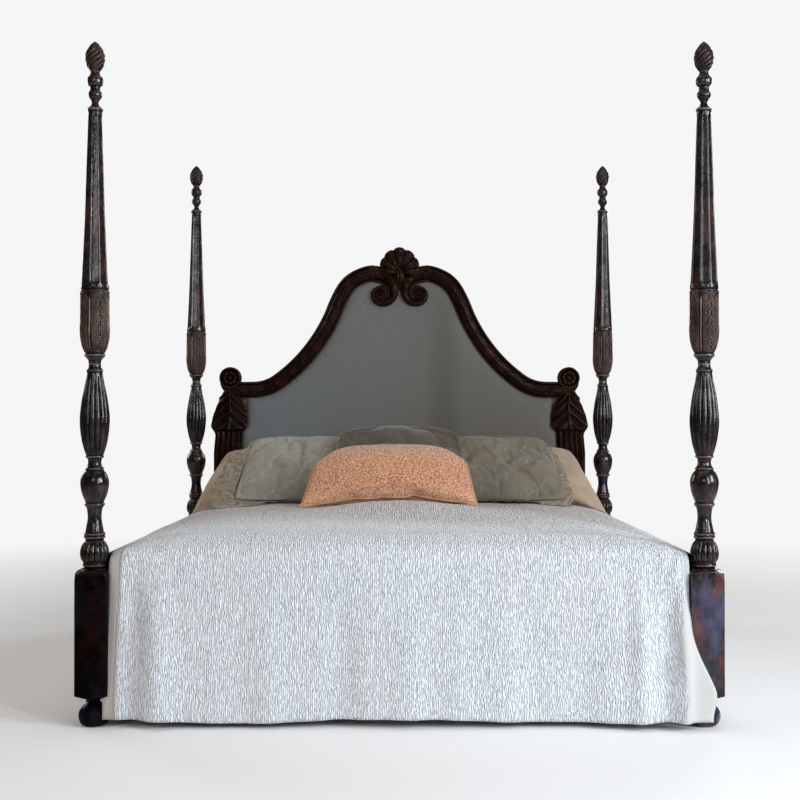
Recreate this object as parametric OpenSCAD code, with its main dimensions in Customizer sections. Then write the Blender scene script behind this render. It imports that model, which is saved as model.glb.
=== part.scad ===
// Four-poster rope bed: turned posts in two lengths, bolted rails laced with
// rope, upholstered headboard under a carved crest, and its bedding.
// Millimetres. Origin at the middle of the footprint on the floor,
// +X to the right seen from the foot, +Y to the headboard, +Z up.

/* [Frame] */
// Distance between the post axes across the bed
post_dx = 2030; // [2020:5:2040]
// Distance between the post axes along the bed
post_dy = 2140; // [2135:5:2145]
// Side of the square block at the foot of each post
block = 110; // [106:1:112]
// Thickness of the four rails
rail_t = 45; // [42:1:46]
// Underside of the rails above the floor
rail_z = 230; // [225:1:235]
// Height of the rails
rail_h = 200; // [190:5:205]
// Length of a rail tenon
tenon_l = 30; // [25:1:32]

/* [Rope] */
// Diameter of the rope
rope_d = 10; // [8:1:10]
// Distance from one strand to the next
rope_pitch = 200; // [190:5:200]
// Strands across the bed
cross_n = 10; // [8:2:10]
// Strands along the bed
long_n = 9; // [7:2:9]

/* [Bolts] */
// Diameter of the bed bolts
bolt_d = 9.5; // [8:0.5:10]
// Length of bolt inside the rail
bolt_in = 62; // [55:1:70]

/* [Finials] */
// Diameter of the pin under each finial
pin_d = 10; // [8:1:12]
// Length of the pin inside the post
pin_in = 40; // [30:1:45]

/* [Bedding] */
// Width of the mattress
mattress_w = 1924; // [1900:2:1930]
// Length of the mattress
mattress_l = 2024; // [2000:2:2028]
// Top of the coverlet at the middle of the bed
cover_top = 632; // [628:1:636]
// Hem of the coverlet above the floor
hem_z = 30; // [20:5:60]
// Thickness of the coverlet
cover_t = 7; // [5:1:8]

/* [Hidden] */
X0 = post_dx / 2;
Y0 = post_dy / 2;
B = block / 2;
gap = 0.3;
wood = [0.12, 0.07, 0.055];
wood2 = [0.2, 0.13, 0.09];
steel = [0.35, 0.34, 0.33];
// z of the bed bolts in the side rails and in the end rails
bolt_z_side = rail_z + 140;
bolt_z_end = rail_z + 60;
// the strands run in two layers just under the mattress
z_cross = 323.5;
z_long = z_cross - rope_d - 0.5;
mattress_z = z_cross + rope_d / 2 + 1.5;
// joint between the two lengths of a post, and the seat of the finial
z_joint = 1201;
z_seat = 2177;

// Catmull-Rom curve through a list of points, n steps to a span
function cr(a, b, c, d, t) = 0.5 * (2 * b + (c - a) * t + (2 * a - 5 * b + 4 * c - d) * t * t + (3 * b - a - 3 * c + d) * t * t * t);
function at(p, i) = p[max(0, min(len(p) - 1, i))];
function smooth(p, n) = [for (i = [0:len(p) - 2]) for (k = [0:n - 1]) cr(at(p, i - 1), at(p, i), at(p, i + 1), at(p, i + 2), k / n), p[len(p) - 1]];
function flip(p) = [for (i = [len(p) - 1:-1:0]) p[i]];
function mirrored(p) = [for (i = [len(p) - 1:-1:0]) [-p[i][0], p[i][1]]];
// curve at distance d to the left of a path
function side(p, d) = [for (i = [0:len(p) - 1]) let (v = at(p, i + 1) - at(p, i - 1), u = v / norm(v)) p[i] + d * [-u[1], u[0]]];
// superellipse, sampled round the whole turn
function se(a, b, e, n) = [for (i = [0:n - 1]) let (t = 360 * i / n, c = cos(t), s = sin(t)) [a * sign(c) * pow(abs(c), 2 / e), b * sign(s) * pow(abs(s), 2 / e)]];

// Turned outline of the post, [radius, z]
foot_pts = smooth([[28, 0], [44, 8], [52, 30], [49, 50], [36, 66], [21, 76], [19, 82]], 3);
cyma_pts = smooth([[19, 82], [24, 88], [44, 94], [60, 100], [79, 107]], 2);
lower_pts = concat(
  [[0, 500], [79, 500], [66, 508], [50, 516], [42, 523], [34, 527], [36, 530]],
  smooth([[38, 530], [39.6, 533], [37, 538]], 2),
  smooth([[38, 541], [45.5, 556], [47.3, 577], [41, 600], [29, 616]], 4),
  smooth([[31, 620], [35.7, 625], [33, 630]], 2),
  smooth([[33, 631], [35.7, 636], [31, 642]], 2),
  smooth([[29.5, 646], [28.7, 652], [22.6, 688], [25.5, 721]], 4),
  smooth([[28, 725], [34.2, 734], [30, 740]], 2),
  smooth([[31, 744], [42, 772], [47, 808], [40, 834], [29, 848]], 4),
  smooth([[29, 849], [31, 853], [27, 858]], 2),
  smooth([[24, 862], [21.4, 875], [24, 887]], 2),
  smooth([[28, 889], [30.7, 893], [28, 898]], 2),
  smooth([[29.6, 901], [42, 945], [49, 1012], [42, 1085], [31, 1140], [25.6, 1170]], 4),
  smooth([[25.6, 1174], [27.8, 1179], [25, 1184]], 2),
  [[21, 1190], [20, 1200], [0, 1200]]);
upper_pts = concat(
  [[0, 0], [20, 0], [21, 12]],
  smooth([[27, 20], [35, 29], [31, 36]], 2),
  smooth([[33, 38], [43, 62], [49, 102], [48, 150], [47.6, 215], [48.8, 243]], 4),
  [[44, 247], [46.5, 252]],
  smooth([[46.5, 252], [35.6, 480], [29, 680], [23.3, 838]], 4),
  smooth([[24, 842], [26.8, 848], [22, 854]], 2),
  smooth([[14, 860], [11.2, 872], [15, 880]], 2),
  smooth([[17, 884], [23, 898], [18.5, 911]], 3),
  [[16, 918], [18, 924]],
  smooth([[19, 926], [26.8, 944], [20, 960]], 3),
  [[15, 968], [15, z_seat - z_joint - gap], [0, z_seat - z_joint - gap]]);
finial_pts = concat([[0, 0], [15, 0], [17, 2]], smooth([[17, 2], [28, 18], [33, 44], [29, 66], [15, 88], [3, 99]], 3), [[0, 100]]);

module mx(f) { if (f) mirror([1, 0, 0]) children(); else children(); }
module my(f) { if (f) mirror([0, 1, 0]) children(); else children(); }
// puts a piece at a post: local +x and +y point to the middle of the bed
module at_post(sx, sy) { translate([sx * X0, sy * Y0, 0]) mx(sx > 0) my(sy > 0) children(); }
module each_post() { for (sx = [-1, 1]) for (sy = [-1, 1]) at_post(sx, sy) children(); }
module along_x(x, y, z, l, r) { translate([x, y, z]) rotate([0, 90, 0]) cylinder(h = l, r = r, $fn = 48); }
module along_y(x, y, z, l, r) { translate([x, y, z]) rotate([-90, 0, 0]) cylinder(h = l, r = r, $fn = 48); }

// ---- posts ----
module post_lower(sx, sy) {
  color(wood) at_post(sx, sy) difference() {
    union() {
      rotate_extrude($fn = 64) polygon(concat([[0, 0]], foot_pts, [[0, 82]]));
      intersection() {
        translate([-B, -B, 82]) cube([block, block, 440]);
        union() {
          rotate_extrude($fn = 64) polygon(concat([[0, 81.5]], cyma_pts, [[79, 500.5], [0, 500.5]]));
          rotate_extrude($fn = 64) polygon([[0, 500], [79, 500], [66, 508], [50, 516], [42, 523], [0, 523]]);
        }
      }
      rotate_extrude($fn = 64) polygon(concat([[0, 500], [34, 500]], [for (i = [4:len(lower_pts) - 1]) lower_pts[i]]));
    }
    // mortises: side rail on the +y face, end rail on the +x face
    translate([-10.3, B - tenon_l - 0.5, rail_z + 20 - gap]) cube([20.6, tenon_l + 1, rail_h - 40 + 2 * gap]);
    translate([B - tenon_l - 0.5, -10.3, rail_z + 20 - gap]) cube([tenon_l + 1, 20.6, rail_h - 40 + 2 * gap]);
    // bolt holes and their counterbores in the outer faces
    along_y(0, -B - 1, bolt_z_side, block + 2, bolt_d / 2 + 0.4);
    along_y(0, -B - 1, bolt_z_side, 19, 14);
    along_x(-B - 1, 0, bolt_z_end, block + 2, bolt_d / 2 + 0.4);
    along_x(-B - 1, 0, bolt_z_end, 19, 14);
    // hole for the joint rod
    translate([0, 0, z_joint - 52]) cylinder(h = 60, r = 6.2, $fn = 48);
    if (sy > 0) {
      // mortise for the headboard's lower rail, and its peg holes
      translate([B - 25.5, -10.3, 446 - gap]) cube([26, 20.6, 60 + 2 * gap]);
      for (z = [461, 491]) along_y(B - 13, -B - 1, z, block - 14, 4.05);
    }
  }
}
module post_upper(sx, sy) {
  color(wood) at_post(sx, sy) translate([0, 0, z_joint]) difference() {
    rotate_extrude($fn = 64) polygon(upper_pts);
    translate([0, 0, -1]) cylinder(h = 53, r = 6.2, $fn = 48);
    translate([0, 0, z_seat - z_joint - pin_in - 4]) cylinder(h = pin_in + 6, r = pin_d / 2 + 0.05, $fn = 48);
  }
}
module finial(sx, sy) {
  color(wood) at_post(sx, sy) translate([0, 0, z_seat]) difference() {
    rotate_extrude($fn = 48) polygon(finial_pts);
    translate([0, 0, -1]) cylinder(h = 31, r = pin_d / 2 + 0.02, $fn = 48);
  }
}
module finial_pin(sx, sy) { color(steel) at_post(sx, sy) translate([0, 0, z_seat - pin_in]) cylinder(h = pin_in + 29, r = pin_d / 2, $fn = 48); }
module post_joint_rods() { color(steel) each_post() translate([0, 0, z_joint - 50]) cylinder(h = 100, r = 6, $fn = 48); }

// ---- rails ----
// pocket, nut hole and bolt hole at one end of a rail lying along +y from the face of its post
module bolt_room(z) {
  along_y(0, -tenon_l - 1, z, tenon_l + bolt_in + 9, bolt_d / 2 + 0.4);
  translate([-10.2, 44, z - 10.2]) cube([rail_t, 10.4, 20.4]);
}
module rail_blank(l, zb) {
  difference() {
    union() {
      translate([-rail_t / 2, -l / 2, rail_z]) cube([rail_t, l, rail_h]);
      translate([-10, -l / 2 - tenon_l, rail_z + 20]) cube([20, l + 2 * tenon_l, rail_h - 40]);
    }
    for (s = [0, 1]) my(s == 1) translate([0, -l / 2, 0]) bolt_room(zb);
  }
}
// holes for n strands, and the grooves on the outer face (-x) between them; first = 0 or 1 picks the pairs
module lacing(n, z, first, knots) {
  y0 = -(n - 1) / 2 * rope_pitch;
  r = rope_d / 2 + 1;
  for (i = [0:n - 1]) along_x(-rail_t / 2 - 1, y0 + i * rope_pitch, z, rail_t + 2, r);
  for (i = [first:2:n - 2]) translate([-rail_t / 2 - 1, y0 + i * rope_pitch - r, z - r]) cube([rope_d + 2, rope_pitch + 2 * r, 2 * r]);
  for (i = knots) along_x(-rail_t / 2 - 1, y0 + i * rope_pitch, z, 21, 11);
}
module side_rail(s) {
  color(wood) translate([s * X0, 0, 0]) mx(s > 0) difference() {
    rail_blank(post_dy - block, bolt_z_side);
    lacing(cross_n, z_cross, s > 0 ? 0 : 1, s > 0 ? [] : [0, cross_n - 1]);
  }
}
module end_rail(s) {
  color(wood) translate([0, s * Y0, 0]) my(s > 0) mirror([1, 0, 0]) rotate([0, 0, 90]) difference() {
    rail_blank(post_dx - block, bolt_z_end);
    lacing(long_n, z_long, s > 0 ? 1 : 0, s > 0 ? [0] : [long_n - 1]);
  }
}

// ---- bolts ----
// one bolt set on the axis of a post hole: local +y leaves the post towards the rail
module bolt_set(z, part) {
  if (part == 0) color(steel) difference() {
    union() {
      along_y(0, -B + 15, z, B - 15 + B + bolt_in - 2, bolt_d / 2);
      translate([-7.5, -B + 8.2, z - 7.5]) cube([15, 7, 15]);
    }
  }
  if (part == 1) color(steel) difference() { along_y(0, -B + 15.4, z, 2.4, 13); along_y(0, -B + 14, z, 6, bolt_d / 2 + 0.3); }
  if (part == 2) color(steel) difference() { translate([-9, B + 45, z - 9]) cube([18, 8, 18]); along_y(0, B + 44, z, 10, bolt_d / 2 + 0.05); }
  if (part == 3) color(wood) along_y(0, -B, z, 6, 13.9);
}
module bolt_parts(part) {
  each_post() {
    bolt_set(bolt_z_side, part);
    mirror([1, -1, 0]) bolt_set(bolt_z_end, part);
  }
}

// ---- rope ----
module strand(x, y, z, l, r) { translate([x, y, z]) rotate([0, 90, 0]) cylinder(h = l, r = r, $fn = 16); }
// strands laced through two rails; xo is the centre of the outer runs
module laced(n, half, z, s0) {
  y0 = -(n - 1) / 2 * rope_pitch;
  r = rope_d / 2;
  xo = half + rail_t / 2 - r - 0.5;
  last = n % 2 == 0 ? -s0 : s0;
  for (i = [0:n - 1]) {
    // a strand reaches past the run it meets, and stops in its knot at either end of the rope
    lo = (i == 0 && s0 > 0) || (i == n - 1 && last < 0) ? xo - 6 : xo + r;
    hi = (i == 0 && s0 < 0) || (i == n - 1 && last > 0) ? xo - 6 : xo + r;
    strand(-lo, y0 + i * rope_pitch, z, lo + hi, r);
  }
  // the runs are a hair thinner, so that every strand closes round its end
  for (i = [0:n - 2]) translate([(i % 2 == 0 ? s0 : -s0) * xo, y0 + i * rope_pitch - r, z]) rotate([-90, 0, 0]) cylinder(h = rope_pitch + 2 * r, r = r - 0.4, $fn = 20);
  // stopper knots at both ends
  knot(-s0 * (xo - 6), y0, z);
  knot(last * (xo - 6), y0 + (n - 1) * rope_pitch, z);
}
module knot(x, y, z) { translate([x - 7, y, z]) rotate([0, 90, 0]) cylinder(h = 14, r = 9, $fn = 24); }

// ---- headboard ----
yp = Y0 - 10;
crest_mid = [[122, 1733], [150, 1731], [186, 1720], [236, 1694], [276, 1650], [312, 1580], [340, 1507], [380, 1430], [427, 1362], [478, 1302], [532, 1250], [585, 1208], [632, 1180], [695, 1161], [790, 1158]];
crest = smooth(crest_mid, 3);
scroll_c = [98, 1641];
curl_c = [840, 1216];
module plate(p, y, t) { translate([0, y, 0]) rotate([90, 0, 0]) mirror([0, 0, 1]) linear_extrude(height = t) polygon(p); }
module disc(c, r, y, t) { along_y(c[0], y, c[1], t, r); }
module crest_moulding(s) {
  color(wood) mx(s < 0) difference() {
    union() {
      plate(concat(side(crest, 40), flip(side(crest, -39))), yp - 48, 48 - gap);
      disc(curl_c, 54, yp - 52, 52 - gap);
      disc(curl_c, 24, yp - 60, 20);
    }
    disc(scroll_c, 64, yp - 80, 100);
    disc([0, 1768], 98, yp - 80, 100);
  }
}
module crest_scroll(s) {
  color(wood) mx(s < 0) difference() {
    union() {
      disc(scroll_c, 63, yp - 50, 50 - gap);
      disc(scroll_c, 26, yp - 62, 20);
    }
    difference() { disc(scroll_c, 44, yp - 51, 7); disc(scroll_c, 36, yp - 52, 9); }
  }
}
module crest_shell() {
  color(wood) difference() {
    union() {
      disc([0, 1768], 70, yp - 56, 56 - gap);
      for (a = [-75:25:75]) disc([74 * sin(a), 1768 + 74 * cos(a)], 22, yp - 50, 50 - gap);
      disc([0, 1724], 22, yp - 64, 20);
    }
    for (a = [-62.5:25:62.5]) translate([0, yp - 60, 1712]) rotate([0, a, 0]) translate([-1.5, 0, 44]) cube([3, 8, 90]);
  }
}
panel_pts = concat([[-900, 516], [900, 516], [900, 1120], [860, 1156]], flip(crest), mirrored(flip(crest)), [[-860, 1156], [-900, 1120]]);
module headboard_panel() { color(wood2) plate(panel_pts, yp, 30); }
pad_side = concat([[120, 1700], [150, 1688]], [for (p = side(crest, -41)) if (p[0] > 172 && p[0] < 748) p]);
pad_pts = concat([[0, 1560], [36, 1560]], smooth([[60, 1580], [90, 1574], [130, 1582], [160, 1610], [170, 1660]], 3), [for (p = side(crest, -41)) if (p[0] > 178 && p[0] < 745) p], [[748, 1060], [748, 966], [776, 946], [782, 850], [782, 516]]);
module headboard_pad() { color([0.38, 0.4, 0.41]) plate(concat(pad_pts, mirrored(pad_pts)), yp - 34, 34 - gap); }
stile_pts = [[786, 516], [786, 850], [782, 955], [753, 973], [752, 1010], [758, 1046], [772, 1086], [794, 1112], [806, 1158], [872, 1158], [893, 1106], [918, 1051], [938, 983], [914, 941], [922, 850], [922, 516]];
module headboard_stile(s) { color(wood) mx(s < 0) plate(stile_pts, yp - 48, 48 - gap); }
module headboard_lower_rail() {
  color(wood) difference() {
    union() {
      translate([-X0 + B, Y0 - 20, 436]) cube([post_dx - block, 40, 79.5]);
      translate([-X0 + B - 25, Y0 - 10, 446]) cube([post_dx - block + 50, 20, 60]);
    }
    for (s = [-1, 1]) for (z = [461, 491]) along_y(s * (X0 - B + 13), Y0 - 30, z, 60, 4.05);
  }
}
module headboard_pegs() { color(wood2) for (s = [-1, 1]) for (z = [461, 491]) along_y(s * (X0 - B + 13), Y0 - B + 15.3, z, block - 16, 4); }
module headboard_battens() {
  color(wood2) for (s = [-1, 1]) difference() {
    translate([s * 600 - 35, Y0 + 20 + gap, 440]) cube([70, 22, 640]);
    for (z = [476, 640, 840, 1040]) along_y(s * 600, Y0 + 10, z, 60, 2.6);
    for (z = [476, 640, 840, 1040]) along_y(s * 600, Y0 + 38, z, 10, 5.2);
  }
}
module batten_screws() {
  color(steel) for (s = [-1, 1]) for (z = [476, 640, 840, 1040]) {
    along_y(s * 600, Y0 + 20.5, z, 18, 2.5);
    along_y(s * 600, Y0 + 38.2, z, 3, 5);
  }
}

// ---- bedding ----
cover_hw = 1048;
cover_hl = Y0 + 32;
function crown(a, zc, h, e, n) = [for (i = [0:n]) let (t = 90 * i / n) [a * pow(cos(t), 2 / e), zc + h * pow(sin(t), 2 / e)]];
module dome(a, b, zc, h, e, z0, flare, y1) {
  x_pts = concat([[a + flare, z0]], crown(a, zc, h, e, 12));
  y_pts = concat([[b + flare * 1.5, z0]], crown(b, zc, h, e, 12));
  intersection() {
    translate([0, y1, 0]) rotate([90, 0, 0]) linear_extrude(height = y1 + b + 60) polygon(concat(x_pts, mirrored(x_pts)));
    rotate([90, 0, 90]) translate([0, 0, -a - 60]) linear_extrude(height = 2 * a + 120) polygon(concat(mirrored(flip(y_pts)), [[y1, zc + h], [y1, z0]]));
  }
}
module coverlet() {
  color([0.8, 0.83, 0.86]) difference() {
    dome(cover_hw, cover_hl, 400, cover_top - 400, 4.5, hem_z, 12, 1000);
    dome(cover_hw - cover_t, cover_hl - cover_t, 400, cover_top - cover_t - 400, 4.5, hem_z - 10, 12.3, 1010);
    for (s = [-1, 1]) translate([s > 0 ? X0 - B - 15 : -X0 + B - 200 + 15, -Y0 - 150, 0]) cube([200, B + 150 + 15, 800]);
  }
}
module mattress() {
  a = mattress_w / 2;
  b = mattress_l / 2;
  color([0.85, 0.83, 0.78]) intersection() {
    dome(a, b, 440, cover_top - cover_t - 7 - 440, 5, mattress_z, 0, b);
    translate([0, 0, mattress_z]) linear_extrude(height = 400) union() {
      translate([-a, -b + 60]) square([2 * a, 2 * b - 120]);
      translate([-a + 60, -b]) square([2 * a - 120, 2 * b]);
      for (s = [-1, 1]) for (t = [-1, 1]) translate([s * (a - 60), t * (b - 60)]) circle(r = 60, $fn = 48);
    }
  }
}
// cushion: w wide, h high, t thick, leaning th degrees from the flat, lowest point at zb, its lens centred on y = yc
module cushion(w, h, t, th, xc, yc, zb) {
  lens = se(h / 2, t / 2, 2.3, 32);
  low = min([for (p = lens) p[0] * sin(th) + p[1] * cos(th)]);
  translate([xc, yc, zb - low]) rotate([th, 0, 0]) intersection() {
    rotate([90, 0, 90]) translate([0, 0, -w / 2]) linear_extrude(height = w) polygon(lens);
    rotate([90, 0, 0]) translate([0, 0, -h / 2]) linear_extrude(height = h) polygon(se(w / 2, t / 2, 3.6, 40));
    translate([0, 0, -t / 2]) linear_extrude(height = t) polygon(se(w / 2, h / 2, 6, 40));
  }
}
pz = cover_top + 1.5;
module sleeping_pillow(s) { color([0.85, 0.8, 0.72]) cushion(900, 440, 110, 30, s * 500, 812, pz); }
module sham(s) { color([0.48, 0.46, 0.43]) cushion(836, 440, 120, 42, s * 432, 646, pz); }
module centre_pillow() { color([0.38, 0.34, 0.3]) cushion(600, 440, 110, 48, 0, 492, pz); }
module lumbar_pillow() { color([0.8, 0.55, 0.42]) cushion(760, 320, 130, 52, -50, 306, pz); }

post_lower(-1, -1);  // post_lower_foot_left
post_lower(1, -1);  // post_lower_foot_right
post_lower(-1, 1);  // post_lower_head_left
post_lower(1, 1);  // post_lower_head_right
post_upper(-1, -1);  // post_upper_foot_left
post_upper(1, -1);  // post_upper_foot_right
post_upper(-1, 1);  // post_upper_head_left
post_upper(1, 1);  // post_upper_head_right
finial(-1, -1);  // finial_foot_left
finial(1, -1);  // finial_foot_right
finial(-1, 1);  // finial_head_left
finial(1, 1);  // finial_head_right
finial_pin(-1, -1);  // finial_pin_foot_left
finial_pin(1, -1);  // finial_pin_foot_right
finial_pin(-1, 1);  // finial_pin_head_left
finial_pin(1, 1);  // finial_pin_head_right
post_joint_rods();
side_rail(-1);  // side_rail_left
side_rail(1);  // side_rail_right
end_rail(-1);  // foot_rail
end_rail(1);  // head_rail
bolt_parts(0);  // bed_bolts
bolt_parts(1);  // bed_bolt_washers
bolt_parts(2);  // bed_bolt_nuts
bolt_parts(3);  // bolt_hole_plugs
color([0.72, 0.6, 0.42]) laced(cross_n, X0, z_cross, 1);  // rope_crosswise
color([0.72, 0.6, 0.42]) mirror([1, -1, 0]) laced(long_n, Y0, z_long, -1);  // rope_lengthwise
headboard_lower_rail();
headboard_pegs();
headboard_panel();
headboard_pad();
headboard_stile(-1);  // headboard_stile_left
headboard_stile(1);  // headboard_stile_right
crest_moulding(-1);  // crest_moulding_left
crest_moulding(1);  // crest_moulding_right
crest_scroll(-1);  // crest_scroll_left
crest_scroll(1);  // crest_scroll_right
crest_shell();
headboard_battens();
batten_screws();
mattress();
coverlet();
sleeping_pillow(-1);  // sleeping_pillow_left
sleeping_pillow(1);  // sleeping_pillow_right
sham(-1);  // sham_left
sham(1);  // sham_right
centre_pillow();
lumbar_pillow();
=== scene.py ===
import math

import bpy
import numpy as np
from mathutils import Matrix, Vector


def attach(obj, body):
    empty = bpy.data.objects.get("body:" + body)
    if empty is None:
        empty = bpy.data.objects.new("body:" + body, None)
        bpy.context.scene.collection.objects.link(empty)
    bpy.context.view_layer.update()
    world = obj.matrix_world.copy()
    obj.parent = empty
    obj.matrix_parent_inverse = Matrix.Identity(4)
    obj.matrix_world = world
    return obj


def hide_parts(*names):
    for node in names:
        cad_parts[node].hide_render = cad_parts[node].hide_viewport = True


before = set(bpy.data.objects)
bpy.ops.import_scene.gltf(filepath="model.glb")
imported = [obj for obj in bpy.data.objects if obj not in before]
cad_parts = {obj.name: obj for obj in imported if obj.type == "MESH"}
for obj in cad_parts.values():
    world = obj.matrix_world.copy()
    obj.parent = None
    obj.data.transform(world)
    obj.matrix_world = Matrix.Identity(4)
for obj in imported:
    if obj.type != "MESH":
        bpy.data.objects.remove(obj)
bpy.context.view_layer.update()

TAU = 2 * math.pi
POSTS = {"foot_left": (-1, -1), "foot_right": (1, -1), "head_left": (-1, 1), "head_right": (1, 1)}
PX, PY = 1.015, 1.07
scene = bpy.context.scene


# ------------------------------------------------------------------ helpers
def srgb(r, g, b):
    out = []
    for c in (r, g, b):
        c /= 255.0
        out.append(c / 12.92 if c <= 0.04045 else ((c + 0.055) / 1.055) ** 2.4)
    return (*out, 1.0)


def smoothstep(a, b, x):
    t = np.clip((np.asarray(x, float) - a) / (b - a), 0, 1)
    return t * t * (3 - 2 * t)


def catmull(pts, n):
    p = np.asarray(pts, float)
    out = []
    for i in range(len(p) - 1):
        a, b, c, d = p[max(i - 1, 0)], p[i], p[i + 1], p[min(i + 2, len(p) - 1)]
        for k in range(n):
            t = k / n
            out.append(0.5 * (2 * b + (c - a) * t + (2 * a - 5 * b + 4 * c - d) * t * t + (3 * b - a - 3 * c + d) * t ** 3))
    out.append(p[-1])
    return np.array(out)


def resample(p, step):
    d = np.r_[0, np.cumsum(np.linalg.norm(np.diff(p, axis=0), axis=1))]
    n = max(2, int(round(d[-1] / step)) + 1)
    s = np.linspace(0, d[-1], n)
    return np.stack([np.interp(s, d, p[:, k]) for k in range(p.shape[1])], 1)


def wob(x, y, seed=0, octaves=3):
    """Smooth, repeatable wobble in about -1..1, built from sines."""
    rng = np.random.RandomState(seed)
    out, amp = 0.0, 1.0
    for o in range(octaves):
        for _ in range(3):
            a, b, c = rng.uniform(-1, 1), rng.uniform(-1, 1), rng.uniform(0, TAU)
            out = out + amp / 3 * np.sin((a * x + b * y) * 2 ** o * 2.0 + c)
        amp *= 0.5
    return out


def grid_quads(nu, nv, close_u=False, close_v=False, keep=None):
    u = np.arange(nu if close_u else nu - 1)
    v = np.arange(nv if close_v else nv - 1)
    U, V = np.meshgrid(u, v, indexing="ij")
    U, V = U.ravel(), V.ravel()
    if keep is not None:
        ok = keep[U, V]
        U, V = U[ok], V[ok]
    U2, V2 = (U + 1) % nu, (V + 1) % nv
    return np.stack([U * nv + V, U2 * nv + V, U2 * nv + V2, U * nv + V2], 1)


def build(name, co, faces, smooth=True, extra=()):
    me = bpy.data.meshes.new(name)
    co = np.asarray(co, float).reshape(-1, 3)
    fs = [list(map(int, f)) for f in faces] + [list(map(int, f)) for f in extra]
    me.from_pydata(co.tolist(), [], fs)
    me.validate()
    if smooth:
        me.polygons.foreach_set("use_smooth", np.ones(len(me.polygons), bool))
    me.update()
    ob = bpy.data.objects.new(name, me)
    scene.collection.objects.link(ob)
    return ob


def attr(ob, name, values):
    me = ob.data
    a = me.attributes.get(name) or me.attributes.new(name, "FLOAT" if np.ndim(values) == 1 else "FLOAT_VECTOR", "POINT")
    a.data.foreach_set("value" if np.ndim(values) == 1 else "vector", np.asarray(values, np.float32).ravel())


def curvature(ob, gain=3.0, smooth=2, flip=False):
    """Stores how convex each point is, -1 in a groove and 1 on a ridge."""
    me = ob.data
    n = len(me.vertices)
    co = np.zeros(n * 3)
    me.vertices.foreach_get("co", co)
    co = co.reshape(-1, 3)
    no = np.zeros(n * 3)
    me.vertices.foreach_get("normal", no)
    no = no.reshape(-1, 3)
    e = np.zeros(len(me.edges) * 2, np.int32)
    me.edges.foreach_get("vertices", e)
    e = e.reshape(-1, 2)
    d = co[e[:, 1]] - co[e[:, 0]]
    length = np.linalg.norm(d, axis=1) + 1e-9
    c0 = (d * no[e[:, 0]]).sum(1) / length
    c1 = -(d * no[e[:, 1]]).sum(1) / length
    s = np.bincount(e[:, 0], c0, n) + np.bincount(e[:, 1], c1, n)
    k = np.bincount(e[:, 0], minlength=n) + np.bincount(e[:, 1], minlength=n)
    c = -s / np.maximum(k, 1)
    for _ in range(smooth):
        s = np.bincount(e[:, 0], c[e[:, 1]], n) + np.bincount(e[:, 1], c[e[:, 0]], n)
        c = 0.5 * c + 0.5 * s / np.maximum(k, 1)
    attr(ob, "curv", np.clip((-c if flip else c) * gain, -1, 1))


def outward(ob):
    """Turns a closed piece's faces outward."""
    import bmesh
    bm = bmesh.new()
    bm.from_mesh(ob.data)
    bmesh.ops.recalc_face_normals(bm, faces=bm.faces)
    bm.to_mesh(ob.data)
    bm.free()
    ob.data.update()


def dress(ob, mat, body, slot, *nodes):
    ob.data.materials.clear()
    ob.data.materials.append(mat)
    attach(ob, body)
    if nodes:
        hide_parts(*nodes)
    return ob


def tube(name, path, radius, sides=8, closed=False, shape=None):
    """A tube along a path. shape(i, angle) may change its radius."""
    p = np.asarray(path, float)
    n = len(p)
    t = np.roll(p, -1, 0) - np.roll(p, 1, 0) if closed else np.gradient(p, axis=0)
    t /= np.linalg.norm(t, axis=1)[:, None] + 1e-12
    up = np.array([0.0, 0.0, 1.0]) if abs(t[0][2]) < 0.9 else np.array([1.0, 0, 0])
    a = np.zeros_like(p)
    a[0] = np.cross(t[0], up)
    a[0] /= np.linalg.norm(a[0])
    for i in range(1, n):
        v = a[i - 1] - t[i] * (a[i - 1] @ t[i])
        a[i] = v / (np.linalg.norm(v) + 1e-12)
    b = np.cross(t, a)
    ang = np.arange(sides) * TAU / sides
    r = np.full((n, sides), radius, float)
    if shape is not None:
        r = r * shape(np.arange(n)[:, None], ang[None, :])
    co = p[:, None, :] + r[:, :, None] * (np.cos(ang)[None, :, None] * a[:, None, :] + np.sin(ang)[None, :, None] * b[:, None, :])
    f = grid_quads(n, sides, closed, True)
    extra = [] if closed else [list(range(sides))[::-1], [(n - 1) * sides + k for k in range(sides)]]
    ob = build(name, co, f, extra=extra)
    outward(ob)
    return ob


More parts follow.
